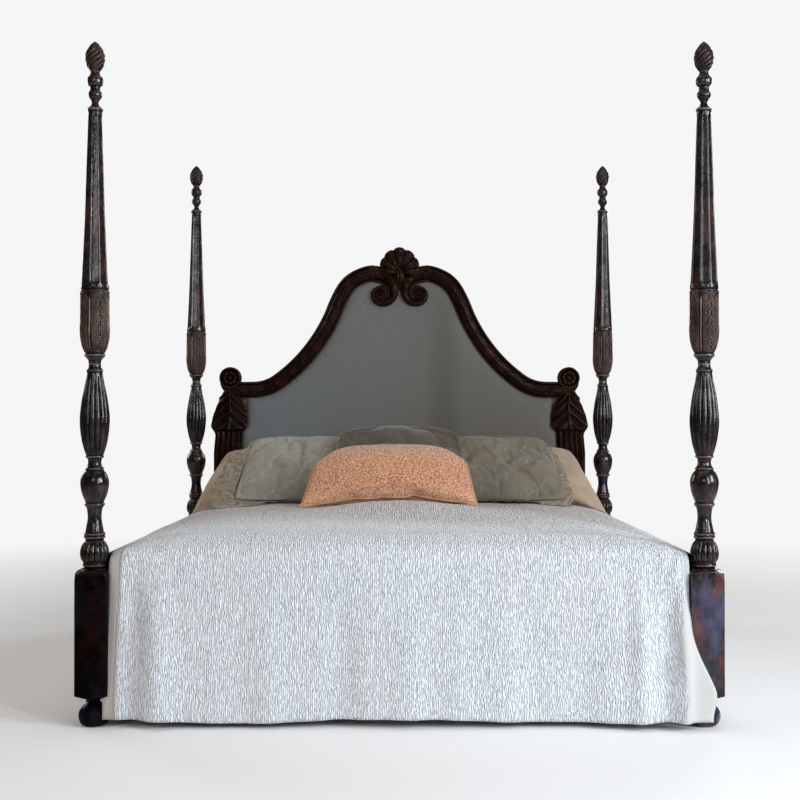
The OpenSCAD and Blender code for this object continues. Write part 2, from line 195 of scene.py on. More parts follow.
# ------------------------------------------------------------------ materials
class Mat:
    """A short way to write a node tree."""

    def __init__(self, name):
        self.m = bpy.data.materials.new(name)
        self.m.use_nodes = True
        self.t = self.m.node_tree
        self.t.nodes.clear()
        self.out = self.t.nodes.new("ShaderNodeOutputMaterial")
        self.b = self.t.nodes.new("ShaderNodeBsdfPrincipled")
        self.t.links.new(self.b.outputs[0], self.out.inputs[0])

    def n(self, kind, ins=None, out=0, **props):
        nd = self.t.nodes.new("ShaderNode" + kind)
        for k, v in props.items():
            setattr(nd, k, v)
        for k, v in (ins or {}).items():
            if isinstance(v, bpy.types.NodeSocket):
                self.t.links.new(v, nd.inputs[k])
            else:
                nd.inputs[k].default_value = v
        return nd.outputs[out]

    def math(self, op, a, b=0.0, clamp=False):
        return self.n("Math", {0: a, 1: b}, operation=op, use_clamp=clamp)

    def mul_add(self, a, b, c):
        return self.n("Math", {0: a, 1: b, 2: c}, operation="MULTIPLY_ADD")

    def mix(self, f, a, b, mode="MIX"):
        nd = self.t.nodes.new("ShaderNodeMix")
        nd.data_type = "RGBA"
        nd.blend_type = mode
        for i, v in ((0, f), (6, a), (7, b)):
            if isinstance(v, bpy.types.NodeSocket):
                self.t.links.new(v, nd.inputs[i])
            else:
                nd.inputs[i].default_value = v
        return nd.outputs[2]

    def ramp(self, f, stops, mode="LINEAR"):
        nd = self.t.nodes.new("ShaderNodeValToRGB")
        nd.color_ramp.interpolation = mode
        el = nd.color_ramp.elements
        while len(el) > 1:
            el.remove(el[-1])
        for i, (p, c) in enumerate(stops):
            e = el[0] if i == 0 else el.new(p)
            e.position = p
            e.color = c if hasattr(c, "__len__") else (c, c, c, 1)
        self.t.links.new(f, nd.inputs[0])
        return nd.outputs[0]

    def attr(self, name, vector=False):
        nd = self.t.nodes.new("ShaderNodeAttribute")
        nd.attribute_name = name
        return nd.outputs["Vector" if vector else "Fac"]

    def obj(self):
        return self.t.nodes.new("ShaderNodeTexCoord").outputs["Object"]

    def scale(self, vec, s, rot=(0, 0, 0), loc=(0, 0, 0)):
        return self.n("Mapping", {"Vector": vec, "Scale": s, "Rotation": rot, "Location": loc})

    def noise(self, vec, scale, detail=3, rough=0.5, distortion=0.0):
        return self.n("TexNoise", {"Vector": vec, "Scale": scale, "Detail": detail, "Roughness": rough, "Distortion": distortion})

    def voronoi(self, vec, scale, feature="F1", out="Distance", rand=1.0):
        nd = self.t.nodes.new("ShaderNodeTexVoronoi")
        nd.feature = feature
        self.t.links.new(vec, nd.inputs["Vector"])
        nd.inputs["Scale"].default_value = scale
        nd.inputs["Randomness"].default_value = rand
        return nd.outputs[out]

    def bump(self, h, strength, distance, normal=None):
        ins = {"Strength": strength, "Distance": distance, "Height": h}
        if normal is not None:
            ins["Normal"] = normal
        return self.n("Bump", ins)

    def set(self, **kw):
        names = {"color": "Base Color", "rough": "Roughness", "normal": "Normal", "sheen": "Sheen Weight", "sheen_rough": "Sheen Roughness",
                 "sheen_tint": "Sheen Tint", "coat": "Coat Weight", "coat_rough": "Coat Roughness", "spec": "Specular IOR Level", "metal": "Metallic"}
        for k, v in kw.items():
            s = self.b.inputs[names[k]]
            if isinstance(v, bpy.types.NodeSocket):
                self.t.links.new(v, s)
            else:
                s.default_value = v
        return self.m


def wood_dark(name, long_axis="z", post=False, painted_shade=False, west=False):
    """Old dark stain, rubbed back to red-brown on the ridges; on the posts a blue-grey bloom, partly a painted
    reflection of cool window light and bluest on the foot blocks; painted shade, nearly black, in the hollows and, in
    the shaded variants, on the foot block.
    """
    m = Mat(name)
    o = m.obj()
    st = {"z": (1, 1, 0.06), "x": (0.06, 1, 1), "y": (1, 0.06, 1)}[long_axis]
    grain = m.noise(m.scale(o, st), 190, 6, 0.62, 0.4)
    pores = m.noise(m.scale(o, tuple(s * (1 if s == 1 else 0.5) for s in st)), 520, 2, 0.5)
    cloud = m.noise(o, 9, 4, 0.6)
    blotch = m.noise(o, 26, 5, 0.65)
    curv = m.attr("curv")
    ridge = m.n("MapRange", {"Value": curv, "From Min": 0.22 if post else 0.05, "From Max": 0.78 if post else 0.60, "To Min": 0.0, "To Max": 1.0})
    broken = m.n("MapRange", {"Value": cloud, "From Min": 0.30, "From Max": 0.66, "To Min": 0.30, "To Max": 1.0})
    patch = m.n("MapRange", {"Value": blotch, "From Min": 0.47, "From Max": 0.72, "To Min": 0.0, "To Max": 0.11})
    wear = m.math("ADD", m.math("MULTIPLY", ridge, broken), patch, clamp=True)
    g1 = m.n("MapRange", {"Value": grain, "From Min": 0.35, "From Max": 0.7})
    if post:
        base = m.mix(g1, (0.0016, 0.0008, 0.0006, 1), (0.0066, 0.0033, 0.0021, 1))
        block = m.n("MapRange", {"Value": m.n("SeparateXYZ", {0: o}, 2), "From Min": 0.56, "From Max": 0.48, "To Min": 0.0, "To Max": 1.0})
        # a blue-grey haze on the finish, partly a painted reflection of cool window light, stronger and bluer on the
        # foot block
        bloom_and_reflection = m.n("MapRange", {"Value": m.noise(m.scale(o, (1, 1, 0.45)), 11, 4, 0.6), "From Min": 0.42, "From Max": 0.62, "To Min": 0.0, "To Max": 0.90})
        bloom_and_reflection = m.math("MULTIPLY", bloom_and_reflection, m.mul_add(block, 0.80, 0.20))
        base = m.mix(bloom_and_reflection, base, m.mix(block, (0.033, 0.032, 0.050, 1), (0.050, 0.052, 0.105, 1)))
        rust = m.n("MapRange", {"Value": m.noise(m.scale(o, (1, 1, 0.5), loc=(3.3, 1.7, 0.9)), 13, 4, 0.62), "From Min": 0.50, "From Max": 0.68, "To Min": 0.0, "To Max": 0.85})
        base = m.mix(rust, base, m.mix(block, (0.030, 0.0105, 0.0056, 1), (0.110, 0.030, 0.022, 1)))
        worn = m.mix(g1, (0.170, 0.088, 0.062, 1), (0.50, 0.365, 0.305, 1))
    else:
        base = m.mix(g1, (0.0018, 0.0010, 0.0008, 1), (0.0066, 0.0028, 0.0018, 1))
        rust = m.n("MapRange", {"Value": m.noise(m.scale(o, (1, 1, 1), loc=(3.3, 1.7, 0.9)), 15, 4, 0.62), "From Min": 0.50, "From Max": 0.70, "To Min": 0.0, "To Max": 0.75})
        base = m.mix(rust, base, (0.026, 0.0082, 0.0036, 1))
        worn = m.mix(g1, (0.036, 0.0120, 0.0054, 1), (0.120, 0.046, 0.021, 1))
    col = m.mix(wear, base, worn)
    deep = m.n("MapRange", {"Value": curv, "From Min": 0.0, "From Max": -0.42, "To Min": 0.0, "To Max": 0.96})
    # painted shade: the hollows darkened nearly to black, where the carving shades itself
    col = m.mix(deep, col, (0.0010, 0.0006, 0.0005, 1))
    # painted shade: below 0.56 m the wood is darkened nearly to black, standing in for the shadow on the foot block;
    # with west set, only on the left half
    if painted_shade:
        shade_mask = m.n("MapRange", {"Value": m.n("SeparateXYZ", {0: o}, 2), "From Min": 0.56, "From Max": 0.50, "To Min": 0.0, "To Max": 0.91})
        if west:
            shade_mask = m.math("MULTIPLY", shade_mask, m.math("LESS_THAN", m.n("SeparateXYZ", {0: o}, 0), 0.0))
        col = m.mix(shade_mask, col, (0.0012, 0.0006, 0.0005, 1))
    dust = m.math("MULTIPLY", m.n("MapRange", {"Value": m.noise(o, 60, 4, 0.7), "From Min": 0.56, "From Max": 0.72}), 0.05 if post else 0.02)
    col = m.mix(dust, col, (0.060, 0.056, 0.062, 1))
    rough = m.mul_add(m.noise(o, 34, 4, 0.6), 0.26, 0.10)
    rough = m.math("ADD", rough, m.math("MULTIPLY", pores, 0.08))
    rough = m.math("ADD", rough, m.math("MULTIPLY", deep, 0.55))
    h = m.math("ADD", m.math("MULTIPLY", grain, 0.55), m.math("MULTIPLY", pores, 0.45))
    nb = m.bump(h, 0.40, 0.0008)
    nb = m.bump(m.noise(o, 75, 3, 0.55), 0.32, 0.0018, nb)
    # wax is left on what a cloth can reach, not in the hollows
    wax = m.math("MULTIPLY", m.math("SUBTRACT", 1.0, deep), m.n("MapRange", {"Value": m.noise(o, 21, 4, 0.6), "From Min": 0.35, "From Max": 0.62, "To Min": 0.35, "To Max": 1.0}))
    wax = m.math("MULTIPLY", wax, 0.82 if post else 0.07)
    # the painted shade also takes the coat off there, so nothing shines in it
    if painted_shade:
        wax = m.math("MULTIPLY", wax, m.math("SUBTRACT", 1.0, m.math("MULTIPLY", shade_mask, 1.10), clamp=True))
    if post:
        oz = m.n("SeparateXYZ", {0: o}, 2)
        cup = m.math("MULTIPLY", m.n("MapRange", {"Value": oz, "From Min": 1.234, "From Max": 1.242}), m.n("MapRange", {"Value": oz, "From Min": 1.452, "From Max": 1.444}))
        cup = m.math("ADD", cup, m.n("MapRange", {"Value": oz, "From Min": 2.170, "From Max": 2.180}), clamp=True)
        wax = m.math("MULTIPLY", wax, m.math("SUBTRACT", 1.0, m.math("MULTIPLY", cup, 0.62)))
    return m.set(color=col, rough=rough, normal=nb, spec=(0.02 if painted_shade else 0.10) if post else 0.04, coat=wax, coat_rough=0.135 if post else 0.22)


def wood_plain(name, axis="x"):
    m = Mat(name)
    o = m.obj()
    st = {"z": (1, 1, 0.05), "x": (0.05, 1, 1)}[axis]
    grain = m.noise(m.scale(o, st), 46, 7, 0.6, 1.2)
    fine = m.noise(m.scale(o, st), 330, 4, 0.6)
    col = m.ramp(grain, [(0.25, (0.035, 0.020, 0.012, 1)), (0.5, (0.070, 0.040, 0.023, 1)), (0.78, (0.12, 0.072, 0.042, 1))])
    col = m.mix(m.math("MULTIPLY", fine, 0.35), col, (0.03, 0.017, 0.011, 1))
    col = m.mix(m.math("MULTIPLY", m.n("MapRange", {"Value": m.noise(o, 7, 5, 0.6), "From Min": 0.5, "From Max": 0.75}), 0.35), col, (0.030, 0.020, 0.015, 1))
    nb = m.bump(m.math("ADD", m.math("MULTIPLY", grain, 0.5), m.math("MULTIPLY", fine, 0.5)), 0.4, 0.0008)
    return m.set(color=col, rough=m.mul_add(grain, 0.2, 0.52), normal=nb)


def iron(name):
    m = Mat(name)
    o = m.obj()
    a = m.noise(o, 120, 5, 0.65)
    col = m.ramp(a, [(0.3, (0.020, 0.018, 0.017, 1)), (0.6, (0.055, 0.050, 0.047, 1)), (0.8, (0.11, 0.055, 0.03, 1))])
    return m.set(color=col, metal=0.75, rough=m.mul_add(a, 0.3, 0.4), normal=m.bump(a, 0.4, 0.0004))


def linen(name):
    """Blue-grey linen with slubs, with painted shade, darker and warmer low down and to the right, and painted cool
    light on the left.
    """
    m = Mat(name)
    o = m.obj()
    weft = m.noise(m.scale(o, (26, 1, 620)), 1.0, 4, 0.6)
    warp = m.noise(m.scale(o, (620, 1, 26)), 1.0, 4, 0.6)
    weave = m.math("MULTIPLY", m.math("ADD", weft, warp), 0.5)
    cross = m.math("ADD", m.math("SINE", m.math("MULTIPLY", m.n("SeparateXYZ", {0: o}, 0), 2600.0)), m.math("SINE", m.math("MULTIPLY", m.n("SeparateXYZ", {0: o}, 2), 2600.0)))
    cloud = m.noise(o, 2.6, 4, 0.55)
    x, z = m.n("SeparateXYZ", {0: o}, 0), m.n("SeparateXYZ", {0: o}, 2)
    low = m.n("MapRange", {"Value": z, "From Min": 1.45, "From Max": 0.80})
    east = m.n("MapRange", {"Value": x, "From Min": -0.25, "From Max": 0.42})
    col = m.mix(m.n("MapRange", {"Value": weave, "From Min": 0.36, "From Max": 0.64}), (0.088, 0.091, 0.088, 1), (0.156, 0.161, 0.156, 1))
    # painted shade: darker and warmer towards the right and low down
    col = m.mix(m.math("MULTIPLY", m.math("ADD", m.math("MULTIPLY", east, 0.6), m.math("MULTIPLY", low, 0.5), clamp=True), 0.92), col, (0.100, 0.090, 0.073, 1))
    # painted light: cooler and paler on the left, more so low down
    west = m.n("MapRange", {"Value": x, "From Min": 0.10, "From Max": -0.60})
    col = m.mix(m.math("MULTIPLY", m.math("MULTIPLY", west, m.math("ADD", low, 0.25, clamp=True)), 0.75), col, (0.122, 0.138, 0.148, 1))
    col = m.mix(m.math("MULTIPLY", m.n("MapRange", {"Value": cloud, "From Min": 0.4, "From Max": 0.75}), 0.25), col, (0.105, 0.102, 0.092, 1))
    nb = m.bump(m.math("ADD", m.math("MULTIPLY", weave, 0.8), m.math("MULTIPLY", cross, 0.05)), 0.55, 0.0012)
    nb = m.bump(m.noise(o, 13, 3, 0.5), 0.25, 0.004, nb)
    return m.set(color=col, rough=0.86, normal=nb, sheen=0.22, sheen_rough=0.5, spec=0.25)


def matelasse(name):
    """Bleached cotton drawn into long, close puckers that run down the cloth, with painted shade in the pucker valleys,
    on the left border and towards the head.
    """
    m = Mat(name)
    c = m.attr("cloth", True)
    off = m.n("VectorMath", {0: m.n("TexNoise", {"Vector": c, "Scale": 38.0, "Detail": 2.0}, 1), 1: (0.5, 0.5, 0.5)}, operation="SUBTRACT")
    v = m.n("VectorMath", {0: c, 1: m.n("VectorMath", {0: off, "Scale": 0.0045}, operation="SCALE")}, operation="ADD")
    edge = m.attr("border")
    a = m.noise(m.scale(v, (300, 64, 1)), 1.0, 0.5, 0.5)
    b = m.noise(m.scale(v, (200, 24, 1), loc=(3.1, 7.7, 0)), 1.0, 0.0, 0.5)
    g = m.noise(m.scale(v, (430, 150, 1), loc=(9.1, 2.3, 0)), 1.0, 1.0, 0.5)
    vx = m.n("SeparateXYZ", {0: v}, 0)

    def pucker(pitch, wx, wy, swing, loc):
        w = m.noise(m.scale(c, (wx, wy, 1), loc=loc), 1.0, 1.0, 0.5)
        return m.mul_add(m.math("SINE", m.math("ADD", m.math("MULTIPLY", vx, TAU / pitch), m.math("MULTIPLY", w, swing))), 0.5, 0.5)

    a = m.math("ADD", m.math("MULTIPLY", a, 0.85), m.math("MULTIPLY", pucker(0.0068, 75, 38, 13.0, (1.3, 4.4, 0)), 0.46))
    b = m.math("ADD", m.math("MULTIPLY", b, 0.85), m.math("MULTIPLY", pucker(0.0086, 50, 15, 13.0, (6.3, 2.4, 0)), 0.50))
    long = m.n("MapRange", {"Value": m.n("SeparateXYZ", {0: c}, 1), "From Min": -1.04, "From Max": -0.45, "To Min": 0.05, "To Max": 0.95}, interpolation_type="SMOOTHSTEP")
    inner = m.n("MapRange", {"Value": m.math("ABSOLUTE", m.n("SeparateXYZ", {0: c}, 0)), "From Min": 1.00, "From Max": 0.86}, interpolation_type="SMOOTHSTEP")
    long = m.math("MULTIPLY", long, inner)
    h = m.math("ADD", m.math("MULTIPLY", a, m.math("SUBTRACT", 1.0, long)), m.math("MULTIPLY", b, m.math("MULTIPLY", long, 1.12)))
    h = m.math("ADD", h, m.math("MULTIPLY", g, 0.16))
    h = m.math("MULTIPLY", h, m.math("SUBTRACT", 1.0, m.math("MULTIPLY", edge, 0.92)))
    thread = m.noise(m.scale(c, (1300, 1300, 1)), 1.0, 1, 0.5)
    big = m.noise(c, 2.1, 3, 0.5)
    # painted shade and light: the pucker valleys darker, the crests paler
    col = m.mix(m.n("MapRange", {"Value": h, "From Min": 0.42, "From Max": 0.86}), (0.412, 0.434, 0.463, 1), (0.765, 0.802, 0.842, 1))
    # painted shade: the left border darker and warmer than the right
    west = m.n("MapRange", {"Value": m.n("SeparateXYZ", {0: c}, 0), "From Min": -0.80, "From Max": -1.0})
    col = m.mix(m.math("MULTIPLY", edge, 0.92), col, m.mix(west, (0.52, 0.51, 0.49, 1), (0.30, 0.262, 0.240, 1)))
    col = m.mix(m.math("MULTIPLY", m.n("MapRange", {"Value": big, "From Min": 0.45, "From Max": 0.8}), 0.22), col, (0.66, 0.62, 0.56, 1))
    shade = m.math("MULTIPLY", m.n("MapRange", {"Value": m.n("SeparateXYZ", {0: c}, 0), "From Min": -0.82, "From Max": -0.99}), m.n("MapRange", {"Value": m.n("SeparateXYZ", {0: c}, 1), "From Min": -1.16, "From Max": -1.36}))
    col = m.mix(m.math("MULTIPLY", shade, 0.55), col, (0.34, 0.305, 0.285, 1))
    # painted shade: the top turns warm brown towards the head, less so at the sides
    far = m.n("MapRange", {"Value": m.n("SeparateXYZ", {0: c}, 1), "From Min": -0.98, "From Max": 0.16}, interpolation_type="SMOOTHSTEP")
    col = m.mix(m.math("MULTIPLY", m.math("MULTIPLY", far, m.mul_add(inner, 0.8, 0.2)), 0.66), col, (0.475, 0.405, 0.365, 1))
    nb = m.bump(h, 1.0, 0.0068)
    nb = m.bump(thread, 0.25, 0.0006, nb)
    return m.set(color=col, rough=0.88, normal=nb, sheen=0.15, sheen_rough=0.6, spec=0.2)


def cotton(name, base, dark, crease=0.5):
    m = Mat(name)
    c = m.attr("cloth", True)
    w = m.noise(m.scale(c, (900, 900, 1)), 1.0, 1, 0.5)
    f = m.noise(c, 11, 5, 0.6, 0.6)
    col = m.mix(m.n("MapRange", {"Value": f, "From Min": 0.35, "From Max": 0.75}), base, dark)
    nb = m.bump(f, crease, 0.010)
    nb = m.bump(w, 0.3, 0.0006, nb)
    return m.set(color=col, rough=0.85, normal=nb, sheen=0.2, spec=0.25)


def boucle(name):
    """Short curled loops, peach with paler tips; painted light turns the upper part greyer rose and brightens the
    bottom band.
    """
    m = Mat(name)
    c = m.attr("cloth", True)
    o3 = m.n("VectorMath", {0: c, 1: m.n("VectorMath", {0: m.n("TexNoise", {"Vector": c, "Scale": 150.0, "Detail": 2.0}, 1), "Scale": 0.006}, operation="SCALE")}, operation="ADD")
    cell = m.voronoi(o3, 150, "SMOOTH_F1")
    curl = m.noise(o3, 330, 3, 0.6, 1.4)
    loop = m.voronoi(m.scale(o3, (1, 1, 1), loc=(0.31, 0.17, 0)), 240, "F1")
    h = m.math("SUBTRACT", m.mul_add(curl, 0.45, 0.6), m.math("MULTIPLY", cell, 0.8))
    h = m.math("SUBTRACT", h, m.math("MULTIPLY", loop, 0.35))
    tone = m.n("MapRange", {"Value": h, "From Min": 0.12, "From Max": 0.62})
    col = m.ramp(tone, [(0.0, (0.31, 0.105, 0.045, 1)), (0.35, (0.58, 0.262, 0.140, 1)), (0.68, (0.76, 0.425, 0.268, 1)), (1.0, (0.90, 0.68, 0.52, 1))])
    # painted light: the upper part of the face greyer rose, as if lit from above
    up = m.n("MapRange", {"Value": m.n("SeparateXYZ", {0: c}, 1), "From Min": 0.045, "From Max": 0.150, "To Min": 0.0, "To Max": 0.78})
    col = m.mix(up, col, m.mix(tone, (0.27, 0.190, 0.145, 1), (0.56, 0.45, 0.37, 1)))
    # painted light: the bottom band brighter orange, lifting the shade under the pillow
    col = m.mix(m.n("MapRange", {"Value": m.n("SeparateXYZ", {0: c}, 1), "From Min": -0.085, "From Max": -0.145, "To Min": 0.0, "To Max": 0.5}), col, m.mix(tone, (0.62, 0.30, 0.17, 1), (0.95, 0.66, 0.46, 1)))
    return m.set(color=col, rough=0.93, normal=m.bump(h, 0.9, 0.0075), sheen=0.45, sheen_rough=0.45, sheen_tint=(1.0, 0.8, 0.7, 1), spec=0.15)


def damask(name, lift=1.0, cool=0.0):
    """A common scrolled damask: matt sage ground, silkier winding figure."""
    m = Mat(name)
    c = m.attr("cloth", True)
    field = m.noise(m.scale(c, (1, 1, 1), loc=(1.7, 0.4, 0)), 13.5, 0.4, 0.5, 0.9)
    swirl = m.math("SINE", m.math("MULTIPLY", field, 76.0))
    gate = m.n("MapRange", {"Value": m.noise(c, 24, 1, 0.5), "From Min": 0.40, "From Max": 0.54})
    fig = m.math("MULTIPLY", m.n("MapRange", {"Value": swirl, "From Min": -0.05, "From Max": 0.5}), gate)
    wv = m.noise(m.scale(c, (700, 1500, 1)), 1.0, 2, 0.5)
    g = m.n("MapRange", {"Value": wv, "From Min": 0.3, "From Max": 0.7})
    ground = m.mix(g, (0.112, 0.100, 0.078, 1), (0.160, 0.146, 0.118, 1))
    figure = m.mix(g, (0.142, 0.130, 0.106, 1), (0.192, 0.180, 0.150, 1))
    col = m.mix(fig, ground, figure)
    warm = m.n("MapRange", {"Value": m.noise(c, 3.2, 3, 0.5), "From Min": 0.42, "From Max": 0.70})
    col = m.mix(m.math("MULTIPLY", warm, 0.30), col, (0.115, 0.088, 0.052, 1))
    # painted light: lift and cool make lit and shaded copies of one damask
    if lift != 1.0:
        col = m.n("VectorMath", {0: col, 1: (lift - 0.10 * cool, lift, lift + 0.16 * cool)}, operation="MULTIPLY")
    rough = m.mix(fig, (0.82, 0.82, 0.82, 1), (0.60, 0.60, 0.60, 1))
    nb = m.bump(m.math("ADD", m.math("MULTIPLY", fig, 0.6), m.math("MULTIPLY", wv, 0.5)), 0.45, 0.0012)
    nb = m.bump(m.noise(c, 17, 4, 0.55, 0.5), 0.32, 0.006, nb)
    return m.set(color=col, rough=rough, normal=nb, sheen=0.18, spec=0.35)


def gold_trim(name):
    m = Mat(name)
    c = m.attr("cloth", True)
    pleat = m.noise(m.scale(c, (90, 24, 1)), 1.0, 3, 0.6)
    wv = m.noise(m.scale(c, (1200, 700, 1)), 1.0, 2, 0.5)
    col = m.ramp(m.math("ADD", m.math("MULTIPLY", pleat, 0.7), m.math("MULTIPLY", wv, 0.3)),
                 [(0.28, (0.080, 0.056, 0.030, 1)), (0.50, (0.165, 0.122, 0.072, 1)), (0.75, (0.27, 0.225, 0.160, 1))])
    leaf = m.n("MapRange", {"Value": m.math("SINE", m.math("MULTIPLY", m.noise(m.scale(c, (1, 1.4, 1), loc=(0.7, 2.2, 0)), 9.0, 0.0, 0.5, 0.8), 46.0)), "From Min": 0.25, "From Max": 0.62})
    col = m.mix(m.math("MULTIPLY", leaf, 0.55), col, (0.27, 0.275, 0.245, 1))
    return m.set(color=col, rough=0.62, normal=m.bump(m.math("ADD", pleat, m.math("MULTIPLY", wv, 0.3)), 0.5, 0.003), sheen=0.3, spec=0.4)


def napped(name):
    m = Mat(name)
    c = m.attr("cloth", True)
    w1 = m.noise(m.scale(c, (420, 60, 1)), 1.0, 3, 0.6)
    w2 = m.noise(m.scale(c, (60, 420, 1)), 1.0, 3, 0.6)
    h = m.math("MULTIPLY", m.math("ADD", w1, w2), 0.5)
    big = m.noise(c, 6, 4, 0.6)
    col = m.mix(m.n("MapRange", {"Value": h, "From Min": 0.38, "From Max": 0.62}), (0.046, 0.038, 0.029, 1), (0.112, 0.094, 0.074, 1))
    col = m.mix(m.math("MULTIPLY", m.n("MapRange", {"Value": big, "From Min": 0.45, "From Max": 0.7}), 0.35), col, (0.090, 0.084, 0.070, 1))
    nb = m.bump(h, 0.5, 0.0015)
    nb = m.bump(big, 0.3, 0.010, nb)
    return m.set(color=col, rough=0.88, normal=nb, sheen=0.5, sheen_rough=0.4, spec=0.2)


def hemp(name):
    m = Mat(name)
    o = m.obj()
    f = m.noise(m.scale(o, (1, 1, 1)), 900, 4, 0.7, 0.8)
    g = m.noise(o, 40, 3, 0.6)
    col = m.ramp(f, [(0.25, (0.16, 0.105, 0.05, 1)), (0.5, (0.36, 0.26, 0.14, 1)), (0.8, (0.56, 0.44, 0.27, 1))])
    col = m.mix(m.math("MULTIPLY", g, 0.35), col, (0.22, 0.16, 0.09, 1))
    return m.set(color=col, rough=0.92, normal=m.bump(f, 0.8, 0.0012), spec=0.15)


def ticking(name):
    m = Mat(name)
    o = m.obj()
    x = m.n("SeparateXYZ", {0: o}, 0)
    fr = m.math("FRACT", m.math("MULTIPLY", x, 24.0))
    line = m.math("ADD", m.math("LESS_THAN", m.math("ABSOLUTE", m.math("SUBTRACT", fr, 0.35)), 0.045), m.math("LESS_THAN", m.math("ABSOLUTE", m.math("SUBTRACT", fr, 0.65)), 0.045), clamp=True)
    w = m.noise(m.scale(o, (600, 600, 600)), 1.0, 1, 0.5)
    col = m.mix(m.math("MULTIPLY", line, 0.8), m.mix(w, (0.52, 0.48, 0.40, 1), (0.66, 0.62, 0.54, 1)), (0.085, 0.11, 0.17, 1))
    nb = m.bump(m.noise(o, 14, 3, 0.5), 0.4, 0.008)
    return m.set(color=col, rough=0.85, normal=m.bump(w, 0.3, 0.0006, nb), sheen=0.15)


MD = wood_dark("dark_wood_turned", "z", True)
# MDL and MDP carry painted shade on the foot block: MDL on the foot-left lower post, MDP on the plugs of the left half
MDL = wood_dark("dark_wood_turned_shaded", "z", True, True)
MDP = wood_dark("dark_wood_plug", "z", True, True, True)
MDS = wood_dark("dark_wood_stile", "z")
MDX = wood_dark("dark_wood_rail_x", "x")
MDY = wood_dark("dark_wood_rail_y", "y")
MDC = wood_dark("dark_wood_crest", "x")
MP = wood_plain("plain_wood", "x")
MPZ = wood_plain("plain_wood_upright", "z")
MI = iron("black_iron")
ML = linen("headboard_linen")
MC = matelasse("puckered_cotton")
MCREAM = cotton("cream_cotton", (0.40, 0.30, 0.215, 1), (0.29, 0.205, 0.14, 1))
MB = boucle("peach_loop_cloth")
MPIPE = cotton("peach_piping", (0.66, 0.34, 0.19, 1), (0.52, 0.23, 0.11, 1), 0.2)
# the two shams share one damask, painted lit and cool on the left and shaded warm on the right
MS = damask("sage_damask", 0.99, -0.5)
MSL = damask("sage_damask_painted_lit", 1.80, 0.85)
MG = gold_trim("gold_flange")
MN = napped("brown_napped")
MH = hemp("hemp")
MT = ticking("striped_ticking")

# ------------------------------------------------------------------ camera
cam = bpy.data.cameras.new("camera")
cam.sensor_width = 36.0
cam.lens = 1286.5 / 800.0 * 36.0
cam.shift_x = 0.0006
PITCH = math.radians(0.28)
cam.shift_y = 0.0118
cam_ob = bpy.data.objects.new("camera", cam)
cam_ob.location = (0.0, -5.355, 1.029)
cam_ob.rotation_euler = (math.pi / 2 + PITCH, 0, 0)
scene.collection.objects.link(cam_ob)
scene.camera = cam_ob

# ------------------------------------------------------------------ posts
FOOT = [[28, 0], [44, 8], [52, 30], [49, 50], [36, 66], [21, 76], [19, 82]]
CYMA = [[19, 82], [24, 88], [44, 94], [60, 100], [79, 107]]
LOWER = [
    ([[34, 524], [34, 527], [36, 529]], 1),
    ([[38, 530], [39.6, 533], [37, 538]], 4),
    ([[36.5, 540], [40, 546], [45.5, 556], [47.3, 577], [41, 600], [29, 616]], 8),
    ([[31, 620], [35.7, 625], [33, 630]], 4),
    ([[33, 631], [35.7, 636], [31, 642]], 4),
    ([[29.5, 646], [28.7, 652], [22.6, 688], [25.5, 721]], 8),
    ([[28, 725], [34.2, 734], [30, 740]], 4),
    ([[31, 744], [42, 772], [47, 808], [40, 834], [29, 848]], 8),
    ([[29, 849], [31, 853], [27, 858]], 4),
    ([[24, 862], [21.4, 875], [24, 887]], 4),
    ([[28, 889], [30.7, 893], [28, 898]], 4),
    ([[29.6, 901], [42, 945], [49, 1012], [42, 1085], [31, 1140], [25.6, 1170]], 10),
    ([[25.6, 1174], [27.8, 1179], [25, 1184]], 4),
    ([[21, 1190], [20, 1200.6]], 1),
]
UPPER = [
    ([[20, 1200.6], [21, 1213]], 1),
    ([[27, 1221], [35, 1230], [31, 1237]], 4),
    ([[33, 1239], [43, 1263], [49, 1303], [48, 1351], [47.6, 1416], [48.8, 1444]], 10),
    ([[44, 1448], [46.5, 1453]], 1),
    ([[46.5, 1453], [35.6, 1681], [29, 1881], [23.3, 2039]], 12),
    ([[24, 2043], [26.8, 2049], [22, 2055]], 4),
    ([[14, 2061], [11.2, 2073], [15, 2081]], 4),
    ([[15.5, 2083.5], [20.3, 2088], [23, 2097], [22, 2105], [17.5, 2111]], 4),
    ([[16, 2119], [18, 2125]], 1),
    ([[17.5, 2126.5], [24.2, 2132], [26.8, 2143.5], [25.0, 2154], [18.5, 2162]], 5),
    ([[15, 2169], [15, 2176.7]], 1),
]
FINIAL = [([[15, 2177], [17, 2179], [28, 2195], [33, 2221], [29, 2243], [15, 2265], [3, 2276], [0.4, 2277]], 6)]


def outline(parts):
    return np.concatenate([catmull(p, n) if n > 1 else np.array(p, float) for p, n in parts])


def reeds(theta, n, depth, turn=0.0):
    """Rounded reeds: how far in from the outside."""
    f = (theta * n / TAU + turn) % 1.0 - 0.5
    return depth * (1 - np.sqrt(np.clip(1 - (2 * f) ** 2 * 0.985, 0, 1)))


def flutes(theta, n, depth, share=0.80):
    """Hollow flutes with flat fillets between."""
    f = (theta * n / TAU) % 1.0 - 0.5
    x = np.clip(np.abs(f) / (share / 2), 0, 1)
    return depth * np.sqrt(1 - x ** 2)


